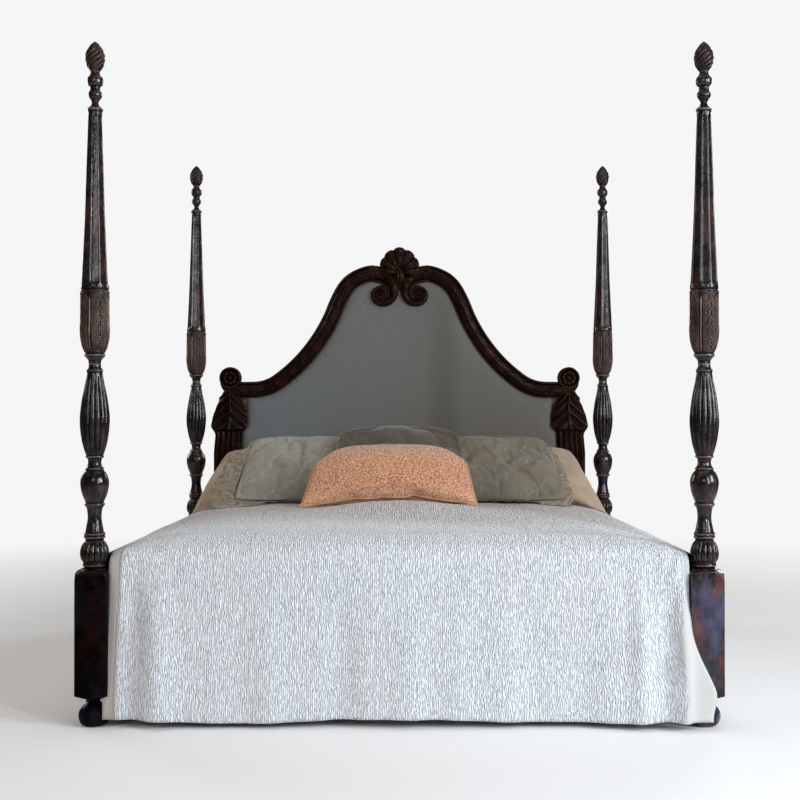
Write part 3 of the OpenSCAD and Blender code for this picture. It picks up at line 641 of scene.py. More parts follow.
def leaf_cup(theta, z, R):
    """Four broad leaves standing round the cup: a plain midrib, fine rising veins, and eyelets where the lobes of two leaves meet."""
    v = (z - 1243) / 200.0
    u = np.abs(((theta * 4 / TAU) % 1.0 - 0.5) * 2)
    arc = u * math.pi / 4 * R
    rim = math.pi / 4 * R - arc
    q = z - 1.18 * arc
    top = 1.0 - 0.095 * u ** 3.2
    body = smoothstep(top + 0.010, top - 0.006, v)
    inner = smoothstep(4.2, 6.2, arc) * smoothstep(0.5, 3.0, rim)
    vein = (1.9 * (0.5 + 0.5 * np.cos(TAU * q / 8.4)) ** 2.2 - 0.75) * inner
    fr = (q / 34.0 + 0.25) % 1.0
    fr = np.minimum(fr, 1 - fr)
    lobe = 0.9 * smoothstep(0.0, 0.30, fr) * smoothstep(6.0, 16.0, arc)
    crack = np.exp(-(fr * 34.0 / 1.9) ** 2) * smoothstep(14.0, 26.0, arc)
    rib = np.exp(-(arc / (2.5 - 0.9 * np.clip(v, 0, 1))) ** 2) * smoothstep(0.93, 0.82, v)
    side = np.exp(-((arc - 5.0) / 1.7) ** 2) * smoothstep(0.95, 0.84, v)
    seam = np.exp(-(rim / 1.3) ** 2)
    fe = ((z - 1243) / 34.0 + 0.35) % 1.0
    fe = np.minimum(fe, 1 - fe) * 34.0
    eye = np.exp(-(rim / 2.7) ** 2 - (fe / 5.2) ** 2) * smoothstep(0.97, 0.88, v) * smoothstep(0.10, 0.18, v)
    bead = np.exp(-((v - top + 0.008) / 0.010) ** 2)
    plain = smoothstep(0.86, 0.93, v)
    cut = body * (1.30 * vein * (1 - 0.5 * plain) + lobe - 1.3 * crack + 2.6 * rib - 2.2 * side - 1.6 * seam - 3.4 * eye) - (1 - body) * 1.7 + 0.9 * bead
    fade = smoothstep(1238, 1246, z) * (1 - smoothstep(1442, 1447, z))
    return fade * (-1.7 + cut)


def post_mesh(name, parts, square=False, n_theta=144, step=3.0, seed=1):
    th = np.arange(n_theta) * TAU / n_theta
    if square:
        extra = [math.radians(45 + 90 * k + d) for k in range(4) for d in (-1.0, 1.0)]
        th = np.sort(np.r_[th, extra])
    p = outline(parts)
    rows = []
    if square:
        foot = resample(catmull(FOOT, 6), 2.6)
        rows.append((np.r_[[[0.5, 0.0]], foot], "round"))
        rows.append((resample(catmull(CYMA, 6), 2.2), "square"))
        rows.append((np.stack([np.full(70, 79.0), np.linspace(108, 502, 70)], 1), "square"))
        rows.append((resample(np.array([[79, 503], [73, 507], [66, 510.5], [58, 514], [50, 517.5], [42, 522], [35, 524]], float), 1.6), "square"))
    prof = resample(p, step)
    if not square:
        lo, hi = prof[prof[:, 1] < 1236], prof[prof[:, 1] > 1450]
        mid = np.linspace(1237.2, 1448.8, 164)
        prof = np.concatenate([lo, np.stack([np.interp(mid, p[:, 1], p[:, 0]), mid], 1), hi])
    rows.append((prof, "round"))
    R = np.concatenate([r[0][:, 0] for r in rows])
    Z = np.concatenate([r[0][:, 1] for r in rows])
    K = np.concatenate([[r[1] == "square"] * len(r[0]) for r in rows])
    T, ZZ = np.meshgrid(th, Z)
    RR = np.repeat(R[:, None], len(th), 1)
    c, s = np.abs(np.cos(T)), np.abs(np.sin(T))
    B = 55.0
    q = 34.0
    box = B / (c ** q + s ** q) ** (1 / q)
    RR = np.where(K[:, None], np.minimum(RR, box), RR)
    # lamb's tongue: a chamfer on the block's corners that dies away
    if square:
        z1 = np.clip((ZZ - 480) / 26, 0, 1)
        cut = 77.3 - 7.0 * z1 ** 1.5
        RR = np.where(K[:, None] & (ZZ > 440) & (ZZ < 511), np.minimum(RR, cut), RR)
    if square:
        ball = smoothstep(539, 548, ZZ) * (1 - smoothstep(606, 616, ZZ))
        RR = RR - ball * reeds(T, 14, 7.5)
        vase = smoothstep(902, 925, ZZ) * (1 - smoothstep(1140, 1169, ZZ))
        RR = RR - vase * reeds(T, 14, 0.150 * RR)
    else:
        RR = RR + leaf_cup(T, ZZ, RR)
        fl = np.abs((T * 8 / TAU) % 1.0 - 0.5) * 2
        col = smoothstep(1462 + 9 * fl ** 3, 1470 + 13 * fl ** 3, ZZ) * (1 - smoothstep(2018, 2034, ZZ))
        RR = RR - col * (flutes(T, 8, 0.105 * RR, 0.88) + 0.5 * np.exp(-((fl - 0.90) / 0.035) ** 2))
    RR = RR + (0.28 * wob(T * 3, ZZ * 0.05, seed) + 0.12 * wob(T * 9, ZZ * 0.21, seed + 5)) * np.clip(RR / 20, 0, 1)
    co = np.stack([RR * np.cos(T), RR * np.sin(T), ZZ], 2) / 1000.0
    nu, nv = co.shape[:2]
    f = grid_quads(nu, nv, False, True)
    extra = [list(range(nv)), [(nu - 1) * nv + k for k in range(nv)][::-1]]
    ob = build(name, co, f, extra=extra)
    outward(ob)
    curvature(ob, 3.6 if square else 3.9, 2 if square else 1)
    return ob


def finial_mesh(name):
    n = 96
    th = np.arange(n) * TAU / n
    p = resample(outline(FINIAL), 1.5)
    T, ZZ = np.meshgrid(th, p[:, 1])
    RR = np.repeat(p[:, :1], n, 1)
    t = (ZZ - 2179) / 98.0
    fade = smoothstep(0.02, 0.16, t) * (1 - smoothstep(0.93, 1.0, t))
    RR = RR - fade * reeds(T, 8, 0.215 * RR, turn=-4.6 * t - 0.25 * np.sin(t * 3))
    co = np.stack([RR * np.cos(T), RR * np.sin(T), ZZ], 2) / 1000.0
    nu, nv = co.shape[:2]
    ob = build(name, co, grid_quads(nu, nv, False, True), extra=[list(range(nv)), [(nu - 1) * nv + k for k in range(nv)][::-1]])
    outward(ob)
    curvature(ob, 3.6, 1)
    return ob


low0 = post_mesh("turned_lower_foot_left", LOWER, True, 168, 2.6, 1)
up0 = post_mesh("turned_upper_foot_left", UPPER, False, 208, 3.0, 2)
fin0 = finial_mesh("flame_foot_left")
for k, (name, (sx, sy)) in enumerate(POSTS.items()):
    for src, stem, node, body in ((low0 if k < 2 else low1, "turned_lower_", "post_lower_", "frame"), (up0, "turned_upper_", "post_upper_", "frame"), (fin0, "flame_", "finial_", "finial_" + name)):
        ob = src if k == 0 else src.copy()
        if k:
            ob.name = stem + name
            scene.collection.objects.link(ob)
        if stem == "turned_lower_" and k == 1:
            low1 = ob
        ob.location = (sx * PX, sy * PY, 0)
        spin = math.radians([35.0, 18.0, 26.0, 30.0][k]) if stem == "turned_upper_" else 0.0
        ob.rotation_euler = (0, 0, [0, 1, 3, 2][k] * math.pi / 2 + spin)
        if stem == "turned_lower_" and k == 1:
            ob.data = ob.data.copy()
            ob.data.materials.clear()
        if ob.data.materials[:] == []:
            ob.data.materials.append(MDL if stem == "turned_lower_" and k == 0 else MD)
        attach(ob, body)
        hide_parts(node + name)

# ------------------------------------------------------------------ headboard
YB = 1.0597   # the panel's front
CREST = [[122, 1733], [150, 1731], [186, 1720], [236, 1694], [276, 1650], [312, 1580], [340, 1507], [380, 1430], [427, 1362], [478, 1302], [532, 1250], [585, 1208], [632, 1180], [695, 1161], [790, 1158]]


def section(a):
    """Height in front of the panel across the moulding, a = 0 at its inner edge and 1 outside; and the carving's weight."""
    a = np.asarray(a, float)
    bead = 0.0175 + 0.0085 * np.sqrt(np.clip(1 - ((a - 0.085) / 0.085) ** 2, 0, 1))
    main = 0.021 + 0.0245 * np.sqrt(np.clip(1 - ((a - 0.57) / 0.375) ** 2, 0, 1))
    lip = 0.0185 + 0.0045 * np.sqrt(np.clip(1 - ((a - 0.965) / 0.035) ** 2, 0, 1))
    h = np.where(a < 0.17, bead, np.where(a < 0.20, 0.0165, np.where(a < 0.93, main, lip)))
    w = np.clip(1 - ((a - 0.57) / 0.33) ** 2, 0, 1)
    return h, w


def sweep(name, path, half, seed, mirror, lift=0.0, pitch=0.085):
    """Carved moulding along a path of [x, z] in metres; half is its half width at each point; inner side on the right hand of travel when not mirrored."""
    p = np.asarray(path, float)
    d = np.r_[0, np.cumsum(np.linalg.norm(np.diff(p, axis=0), axis=1))]
    n = int(d[-1] / 0.0042) + 1
    s = np.linspace(0, d[-1], n)
    q = np.stack([np.interp(s, d, p[:, 0]), np.interp(s, d, p[:, 1])], 1)
    hw = np.interp(s, d, half)
    k = 5
    pad = np.pad(q, ((k, k), (0, 0)), "edge")
    q = np.stack([np.convolve(pad[:, i], np.ones(2 * k + 1) / (2 * k + 1), "valid") for i in range(2)], 1)
    t = np.gradient(q, axis=0)
    t /= np.linalg.norm(t, axis=1)[:, None]
    nrm = np.stack([-t[:, 1], t[:, 0]], 1)
    a = np.r_[np.linspace(0, 0.17, 9), np.linspace(0.175, 0.20, 3), np.linspace(0.205, 0.925, 27), np.linspace(0.935, 1.0, 5)]
    h, w = section(a)
    A, S = np.meshgrid(a, s)
    H = np.repeat(h[None, :], n, 0)
    W = np.repeat(w[None, :], n, 0)
    ph = S / pitch + 0.9 * np.abs(A - 0.57) / 0.36
    husk = (ph % 1.0)
    husk = husk ** 1.6 * (1 - smoothstep(0.90, 1.0, husk))
    strand = 0.5 + 0.5 * np.cos((A - 0.57) / 0.36 * 3.2 * math.pi)
    H = H + W * (0.0034 * husk + 0.0019 * strand - 0.0022) + 0.0006 * wob(S * 60, A * 9, seed)
    scale = (hw / 0.0395)[:, None]
    H = H * (0.42 + 0.58 * np.clip(scale, 0, 1.1)) + lift * (1 - smoothstep(0.028, 0.0395, np.repeat(hw[:, None], len(a), 1)))
    off = (A - 0.5) * 2 * hw[:, None]
    X = q[:, 0:1] + nrm[:, 0:1] * off
    Zc = q[:, 1:2] + nrm[:, 1:2] * off
    Y = YB - H
    # close it: side walls and a back
    X = np.concatenate([X[:, :1], X, X[:, -1:]], 1)
    Zc = np.concatenate([Zc[:, :1], Zc, Zc[:, -1:]], 1)
    Y = np.concatenate([np.full((n, 1), YB), Y, np.full((n, 1), YB)], 1)
    co = np.stack([X * (-1 if mirror else 1), Y, Zc], 2)
    nv = co.shape[1]
    ob = build(name, co, grid_quads(n, nv, False, True), extra=[list(range(nv)), [(n - 1) * nv + j for j in range(nv)][::-1]])
    outward(ob)
    curvature(ob, 3.0, 2)
    return ob


def rosette(name, cx, cz, r, top, mirror, petals=8, base=0.0, cup=True):
    """A turned and petalled button, its axis along Y."""
    n = 96
    th = np.arange(n) * TAU / n
    rr = np.r_[np.linspace(0.002, 0.20, 7), np.linspace(0.22, 0.30, 4), np.linspace(0.33, 0.70, 14), np.linspace(0.72, 0.80, 4), np.linspace(0.82, 1.0, 10)]
    T, P = np.meshgrid(th, rr)
    button = 0.30 * np.sqrt(np.clip(1 - (P / 0.21) ** 2, 0, 1))
    petal = 0.20 * np.sin(np.clip((P - 0.26) / 0.46, 0, 1) * math.pi) * (0.55 + 0.45 * np.abs(np.cos(T * petals / 2)))
    rim = 0.26 * np.sqrt(np.clip(1 - ((P - 0.885) / 0.115) ** 2, 0, 1))
    H = np.where(P < 0.215, 0.10 + button, np.where(P < 0.74, 0.05 + petal, 0.04 + rim))
    H = base + top * (0.62 + 0.38 * H / 0.36)
    Rr = P * r * (1 + 0.0 * T)
    X = cx + Rr * np.cos(T)
    Z = cz + Rr * np.sin(T)
    Y = YB - H
    wall = np.stack([cx + r * np.cos(T[-1:]), np.full((1, n), YB), cz + r * np.sin(T[-1:])], 2)
    co = np.concatenate([np.stack([X, Y, Z], 2), wall], 0)
    if mirror:
        co[:, :, 0] *= -1
    nu = co.shape[0]
    ob = build(name, co, grid_quads(nu, n, False, True), extra=[list(range(n)), [(nu - 1) * n + j for j in range(n)][::-1]])
    outward(ob)
    curvature(ob, 3.0, 1)
    return ob


def join(obs, name):
    """Joins pieces of one carved part into one mesh, keeping their attributes."""
    co, fc, cv, base = [], [], [], 0
    for o in obs:
        me = o.data
        c = np.zeros(len(me.vertices) * 3)
        me.vertices.foreach_get("co", c)
        co.append(c.reshape(-1, 3))
        v = np.zeros(len(me.vertices))
        if "curv" in me.attributes:
            me.attributes["curv"].data.foreach_get("value", v)
        cv.append(v)
        fc += [[i + base for i in p.vertices] for p in me.polygons]
        base += len(me.vertices)
        bpy.data.objects.remove(o)
    ob = build(name, np.concatenate(co), fc)
    attr(ob, "curv", np.concatenate(cv))
    return ob


crest = catmull(CREST, 6) / 1000.0
crest[:, 1] += 0.006 * smoothstep(1.16, 1.70, crest[:, 1])
crest[:, 0] += 0.006 * smoothstep(1.62, 1.40, crest[:, 1]) * smoothstep(1.16, 1.22, crest[:, 1])
for side, s in (("left", True), ("right", False)):
    path = np.concatenate([crest, [[0.822, 1.160], [0.850, 1.167], [0.872, 1.182], [0.884, 1.202], [0.886, 1.222]]])
    half = np.r_[np.full(len(crest), 0.0395), [0.036, 0.030, 0.021, 0.012, 0.006]]
    band = sweep("band_" + side, path[::-1], half[::-1], 3, s)
    curl = rosette("curl_" + side, 0.840, 1.2165, 0.054, 0.052, s)
    ob = join([band, curl], "crest_run_" + side)
    dress(ob, MDC, "frame", "wood_dark", "crest_moulding_" + side)

    # the central scroll: the same moulding turning down, round and in to its eye
    raw = np.array([[0.1480, 1.7350, 0.0398], [0.1150, 1.7350, 0.0412], [0.0760, 1.7240, 0.0405], [0.0465, 1.7000, 0.0352], [0.0292, 1.6640, 0.0278],
                    [0.0285, 1.6290, 0.0235], [0.0440, 1.6010, 0.0210], [0.0680, 1.5870, 0.0190], [0.0960, 1.5890, 0.0180], [0.1170, 1.6070, 0.0168],
                    [0.1235, 1.6320, 0.0150], [0.1140, 1.6540, 0.0125], [0.0950, 1.6640, 0.0105], [0.0750, 1.6570, 0.0090], [0.0640, 1.6410, 0.0070]])
    raw[:, 0] *= 1.05
    fine = catmull(raw, 6)
    scroll = sweep("scroll_band_" + side, fine[::-1, :2], fine[::-1, 2], 7, s, lift=0.026, pitch=0.05)
    eye = rosette("scroll_eye_" + side, 0.0930, 1.6270, 0.0250, 0.022, s, 6, base=0.036)
    bed = rosette("scroll_bed_" + side, 0.0840, 1.6280, 0.0510, 0.002, s, 6, base=0.031)
    eye = join([eye, bed], "scroll_centre_" + side)
    ob = join([scroll, eye], "central_scroll_" + side)
    dress(ob, MDC, "frame", "wood_dark", "crest_scroll_" + side)


def shell_mesh():
    """A seven-lobed shell over a husk."""
    na, nr = 181, 44
    al = np.radians(np.linspace(-112, 112, na))
    t = np.linspace(0.0, 1.0, nr)
    A, Tt = np.meshgrid(al, t, indexing="ij")
    deg = np.degrees(A)
    ph = deg / 31.0
    fr = ph - np.round(ph)
    lobe = np.sqrt(np.clip(1 - (2 * fr) ** 2 * 0.97, 0, 1))
    R0 = 0.1240 - 0.032 * (np.abs(deg) / 112) ** 1.2
    R = R0 * (0.90 + 0.10 * lobe)
    rad = R * Tt
    dome = 0.030 + 0.030 * np.sin(math.pi * np.clip(Tt, 0, 1) ** 0.85) ** 0.8
    roll = 0.010 * smoothstep(0.70, 0.97, Tt) * (1 - smoothstep(0.985, 1.0, Tt))
    rib = 0.0115 * (lobe - 0.6) * smoothstep(0.12, 0.55, Tt)
    fine = 0.0012 * np.cos(fr * TAU * 3) * smoothstep(0.2, 0.6, Tt) * (1 - smoothstep(0.85, 1, Tt))
    H = dome + roll + rib + fine
    H = np.where(Tt > 0.992, 0.026, H)
    X = rad * np.sin(A)
    Z = 1.7430 + rad * np.cos(A)
    Y = YB - H
    co = np.stack([X, Y, Z], 2)
    back = co[:, -1:, :].copy()
    back[:, :, 1] = YB
    mid = back.copy()
    mid[:, :, 0] *= 0.02
    mid[:, :, 2] = 1.7430 + (mid[:, :, 2] - 1.7430) * 0.02
    co = np.concatenate([co, back, mid], 1)
    nv = co.shape[1]
    shell = build("shell_fan", co, grid_quads(na, nv, False, True))
    outward(shell)
    curvature(shell, 2.6, 1)
    # the husk under it, hanging between the scrolls
    n, m = 40, 48
    v = np.linspace(0, 1, n)
    th = np.arange(m) * TAU / m
    V, T = np.meshgrid(v, th, indexing="ij")
    wid = 0.030 * np.sin(math.pi * np.clip(V * 0.92 + 0.06, 0, 1)) ** 0.8 * (1 - 0.45 * V)
    ribs = 1 + 0.10 * np.cos(T * 10)
    Xh = wid * np.cos(T) * ribs
    Zh = 1.756 - 0.105 * V
    Yh = YB - 0.030 - np.abs(wid * np.sin(T)) * 1.15 * ribs * (np.sin(T) > 0) - 0.012 * (1 - V)
    husk = build("shell_husk", np.stack([Xh, Yh, Zh], 2), grid_quads(n, m, False, True), extra=[list(range(m)), [(n - 1) * m + k for k in range(m)][::-1]])
    outward(husk)
    curvature(husk, 3.0, 1)
    return join([shell, husk], "crest_shell_carved")


dress(shell_mesh(), MDC, "frame", "wood_dark", "crest_shell")

# pad: linen drawn over a crown, tucked behind the moulding
inner = []
cp = crest
tt = np.gradient(cp, axis=0)
tt /= np.linalg.norm(tt, axis=1)[:, None]
nn = np.stack([-tt[:, 1], tt[:, 0]], 1)
inn = cp - nn * 0.036
sel = inn[(inn[:, 0] > 0.10) & (inn[:, 0] < 0.752)]
edge = [[0.0, 1.699], [0.06, 1.698], [0.10, 1.697]] + sel.tolist() + [[0.757, 1.118], [0.762, 1.060], [0.762, 0.990], [0.786, 0.950], [0.790, 0.850], [0.790, 0.518]]
edge = resample(np.array(edge), 0.006)


def edge_distance(P, poly, chunk=4000):
    a, b = poly[:-1], poly[1:]
    ab = b - a
    L = (ab ** 2).sum(1) + 1e-12
    out = np.empty(len(P))
    for i in range(0, len(P), chunk):
        q = P[i:i + chunk, None, :] - a[None]
        t = np.clip((q * ab[None]).sum(2) / L[None], 0, 1)
        out[i:i + chunk] = np.sqrt(((q - t[:, :, None] * ab[None]) ** 2).sum(2)).min(1)
    return out


def pad_mesh():
    # width at each height: the outermost edge point there
    zs = np.r_[np.linspace(0.518, 1.10, 90), np.linspace(1.105, 1.16, 22), np.linspace(1.163, 1.697, 150)]
    ws = []
    for z in zs:
        a, b = edge[:-1], edge[1:]
        lo, hi = np.minimum(a[:, 1], b[:, 1]), np.maximum(a[:, 1], b[:, 1])
        ok = (lo <= z) & (hi >= z) & (hi > lo)
        t = (z - a[ok, 1]) / (b[ok, 1] - a[ok, 1])
        xs = a[ok, 0] + t * (b[ok, 0] - a[ok, 0])
        ws.append(xs.max() if len(xs) else 0.06)
    ws = np.array(ws)
    u = np.linspace(-1, 1, 171)
    u = np.sign(u) * np.abs(u) ** 0.86
    U, Zg = np.meshgrid(u, zs)
    X = U * ws[:, None]
    P = np.stack([np.abs(X).ravel(), Zg.ravel()], 1)
    d = edge_distance(P, edge[:-60] if len(edge) > 200 else edge).reshape(X.shape)
    d = np.minimum(d, edge_distance(P, edge).reshape(X.shape))
    crown = 0.0295 * (1 - np.exp(-d / 0.017)) + 0.006 * (1 - np.exp(-d / 0.20))
    ripple = 0.0010 * wob(X * 6, Zg * 4, 11) * np.clip(d / 0.1, 0, 1)
    pull = 0.0007 * np.cos(TAU * (X + Zg) / 0.055) * np.exp(-d / 0.03)
    Y = YB - 0.001 - crown - ripple - pull
    co = np.stack([X, Y, Zg], 2)
    return build("headboard_upholstery", co, grid_quads(*X.shape))


pad = pad_mesh()
pad.data.flip_normals()
attr(pad, "cloth", np.array([[v.co.x, v.co.z, 0] for v in pad.data.vertices]))
dress(pad, ML, "frame", "headboard_linen", "headboard_pad")

STILE_L = [[0.786, 0.517], [0.786, 0.850], [0.782, 0.950], [0.754, 0.973], [0.752, 1.010], [0.758, 1.046], [0.772, 1.086], [0.792, 1.115], [0.806, 1.160]]
STILE_R = [[0.922, 0.517], [0.922, 0.850], [0.914, 0.938], [0.936, 0.975], [0.931, 1.010], [0.920, 1.046], [0.904, 1.086], [0.890, 1.115], [0.870, 1.160]]


def stile_mesh(name, mirror):
    """A carved leaf that opens over the shoulder of a reeded upright."""
    zs = np.linspace(0.517, 1.162, 240)
    l = np.array(STILE_L)
    r = np.array(STILE_R)
    xl, xr = np.interp(zs, l[:, 1], l[:, 0]), np.interp(zs, r[:, 1], r[:, 0])
    k = 4
    sm = lambda q: np.convolve(np.pad(q, (k, k), "edge"), np.ones(2 * k + 1) / (2 * k + 1), "valid")
    xl, xr = sm(xl), sm(xr)
    u = np.linspace(-1, 1, 61)
    U, Z = np.meshgrid(u, zs)
    X = (xl + xr)[:, None] / 2 + U * (xr - xl)[:, None] / 2
    body = np.sqrt(np.clip(1 - U ** 2 * 0.93, 0, 1))
    v = (Z - 0.955) / 0.21
    leaf = smoothstep(-0.02, 0.06, v)
    vein = np.cos(TAU * (v * 4.2 + np.abs(U) * 1.5))
    Hl = 0.022 + 0.022 * body + 0.0042 * vein * (1 - np.exp(-(U / 0.1) ** 2)) + 0.006 * np.exp(-(U / 0.09) ** 2) + 0.010 * np.exp(-((v - 0.04) / 0.10) ** 2)
    reed = 0.024 + 0.017 * body + 0.0035 * np.cos(U * math.pi * 5)
    H = leaf * Hl + (1 - leaf) * reed
    H *= 1 - 0.25 * smoothstep(0.75, 1.0, v)
    Y = YB - H
    co = np.stack([X, Y, Z], 2)
    lw, rw = co[:, :1].copy(), co[:, -1:].copy()
    lw[:, :, 1] = YB
    rw[:, :, 1] = YB
    co = np.concatenate([lw, co, rw], 1)
    if mirror:
        co[:, :, 0] *= -1
    nu, nv = co.shape[:2]
    ob = build(name, co, grid_quads(nu, nv, False, True), extra=[list(range(nv)), [(nu - 1) * nv + j for j in range(nv)][::-1]])
    outward(ob)
    curvature(ob, 2.6, 2)
    return ob


for side, s in (("left", True), ("right", False)):
    dress(stile_mesh("carved_stile_" + side, s), MDS, "frame", "wood_dark", "headboard_stile_" + side)

# CAD pieces that stay
for n in ("side_rail_left", "side_rail_right"):
    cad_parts[n].data.materials.clear(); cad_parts[n].data.materials.append(MDY)
for n in ("foot_rail", "head_rail", "headboard_lower_rail"):
    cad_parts[n].data.materials.clear(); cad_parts[n].data.materials.append(MDX)
for n in ("headboard_panel",):
    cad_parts[n].data.materials.clear(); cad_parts[n].data.materials.append(MP)
for n in ("headboard_battens", "headboard_pegs"):
    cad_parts[n].data.materials.clear(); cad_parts[n].data.materials.append(MPZ)
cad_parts["bolt_hole_plugs"].data.materials.clear(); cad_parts["bolt_hole_plugs"].data.materials.append(MDP)
for n in ["post_joint_rods", "bed_bolts", "bed_bolt_washers", "bed_bolt_nuts", "batten_screws"] + ["finial_pin_" + p for p in POSTS]:
    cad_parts[n].data.materials.clear(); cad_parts[n].data.materials.append(MI)


# ------------------------------------------------------------------ rope
def rope(name, n, half, z, s0, swap):
    pitch, rt, r = 0.2, 0.045, 0.005
    y0 = -(n - 1) / 2 * pitch
    xo = half + rt / 2 - r - 0.0005
    pts = []
    for i in range(n):
        y = y0 + i * pitch
        a = -s0 if i % 2 == 0 else s0
        for k, q in enumerate((a, -a)):
            end = (i == 0 and k == 0) or (i == n - 1 and k == 1)
            pts.append((q * (xo - (0.004 if end else 0)), y, end, k))
    path = []
    bend = 0.007
    for j, (x, y, end, k) in enumerate(pts):
        if end:
            path.append((x, y))
            continue
        # round the corner
        px, py = pts[j - 1][0], pts[j - 1][1]
        nx, ny = pts[j + 1][0], pts[j + 1][1]
        a = np.array([px - x, py - y]); a /= np.linalg.norm(a)
        b = np.array([nx - x, ny - y]); b /= np.linalg.norm(b)
        c = np.array([x, y])
        for t in (0, 0.25, 0.5, 0.75, 1):
            w = (1 - t) ** 2 * (c + a * bend) + 2 * t * (1 - t) * c + t * t * (c + b * bend)
            path.append(tuple(w))
    path = np.array(path)
    d = np.r_[0, np.cumsum(np.linalg.norm(np.diff(path, axis=0), axis=1))]
    s = np.linspace(0, d[-1], int(d[-1] / 0.0065))
    q = np.stack([np.interp(s, d, path[:, 0]), np.interp(s, d, path[:, 1]), np.full(len(s), z)], 1)
    if swap:
        q = q[:, [1, 0, 2]]
    twist = s / 0.034 * TAU
    ob = tube(name, q, r, 12, False, lambda i, a: 0.80 + 0.20 * np.abs(np.cos(1.5 * (a + twist[i]))))
    return ob, q, float(d[-1])


def knot(name, c, axis):
    """An overhand stopper knot: a rope wound into a ball."""
    t = np.linspace(0, 1, 130)
    a = t * TAU * 2
    x = 0.0045 * np.cos(a * 1.5)
    y = (0.0050 + 0.0010 * np.cos(3 * a / 2)) * np.cos(a)
    z = (0.0050 + 0.0010 * np.cos(3 * a / 2)) * np.sin(a)
    p = np.stack([x, y, z], 1)
    if axis == 1:
        p = p[:, [1, 0, 2]]
    return tube(name, p + np.array(c), 0.0038, 9, False)


for name, n, half, z, s0, swap in (("crosswise", 10, PX, 0.3235, 1, False), ("lengthwise", 9, PY, 0.3130, -1, True)):
    ob, path, length = rope("rope_strands_" + name, n, half, z, s0, swap)
    k1 = knot("k1", path[0] - np.sign(path[0]) * np.array([0.002, 0, 0] if not swap else [0, 0.002, 0]), 0 if not swap else 1)
    k2 = knot("k2", path[-1] - np.sign(path[-1]) * np.array([0.002, 0, 0] if not swap else [0, 0.002, 0]), 0 if not swap else 1)
    ob = join([ob, k1, k2], "rope_laid_" + name)
    dress(ob, MH, "frame", "rope", "rope_" + name)
    print("rope", name, round(length, 2), "m")

# ------------------------------------------------------------------ bedding
COVER_TOP, ZC = 0.632, 0.400
HW, HL = 1.048, 1.102


def crown(a, h, e, n=400):
    t = np.linspace(math.pi / 2, 0, n)
    return np.stack([a * np.cos(t) ** (2 / e), h * np.sin(t) ** (2 / e)], 1)


def drape_line(a, hem, flare, e):
    """Cloth line from the middle of the top down to the hem: arc length, outward distance and height."""
    c = crown(a, COVER_TOP - ZC, e)
    c[:, 1] += ZC
    c = np.concatenate([c, [[a + flare, hem]]])
    d = np.r_[0, np.cumsum(np.linalg.norm(np.diff(c, axis=0), axis=1))]
    return d, c[:, 0], c[:, 1]


def relief(x, y):
    """How the made bed's top differs from the plain dome: a soft swell before the pillows, a roll along the foot edge."""
    swell = 0.048 * np.exp(-(x / 0.34) ** 2 - ((y + 0.07) / 0.20) ** 2)
    roll = 0.007 * np.exp(-((y + 0.975) / 0.045) ** 2) - 0.009 * np.exp(-((y + 0.83) / 0.085) ** 2) * smoothstep(-0.6, 0.7, x)
    fade = 1 - smoothstep(0.80, 1.0, np.abs(x))
    return fade * (swell + roll + 0.0035 * wob(x * 1.9, y * 1.6, 21))


def cover_height(x, y):
    ax = np.clip(np.abs(x) / HW, 0, 0.9999)
    return ZC + (COVER_TOP - ZC) * (1 - ax ** 4.1) ** (1 / 4.1) + relief(x, y)


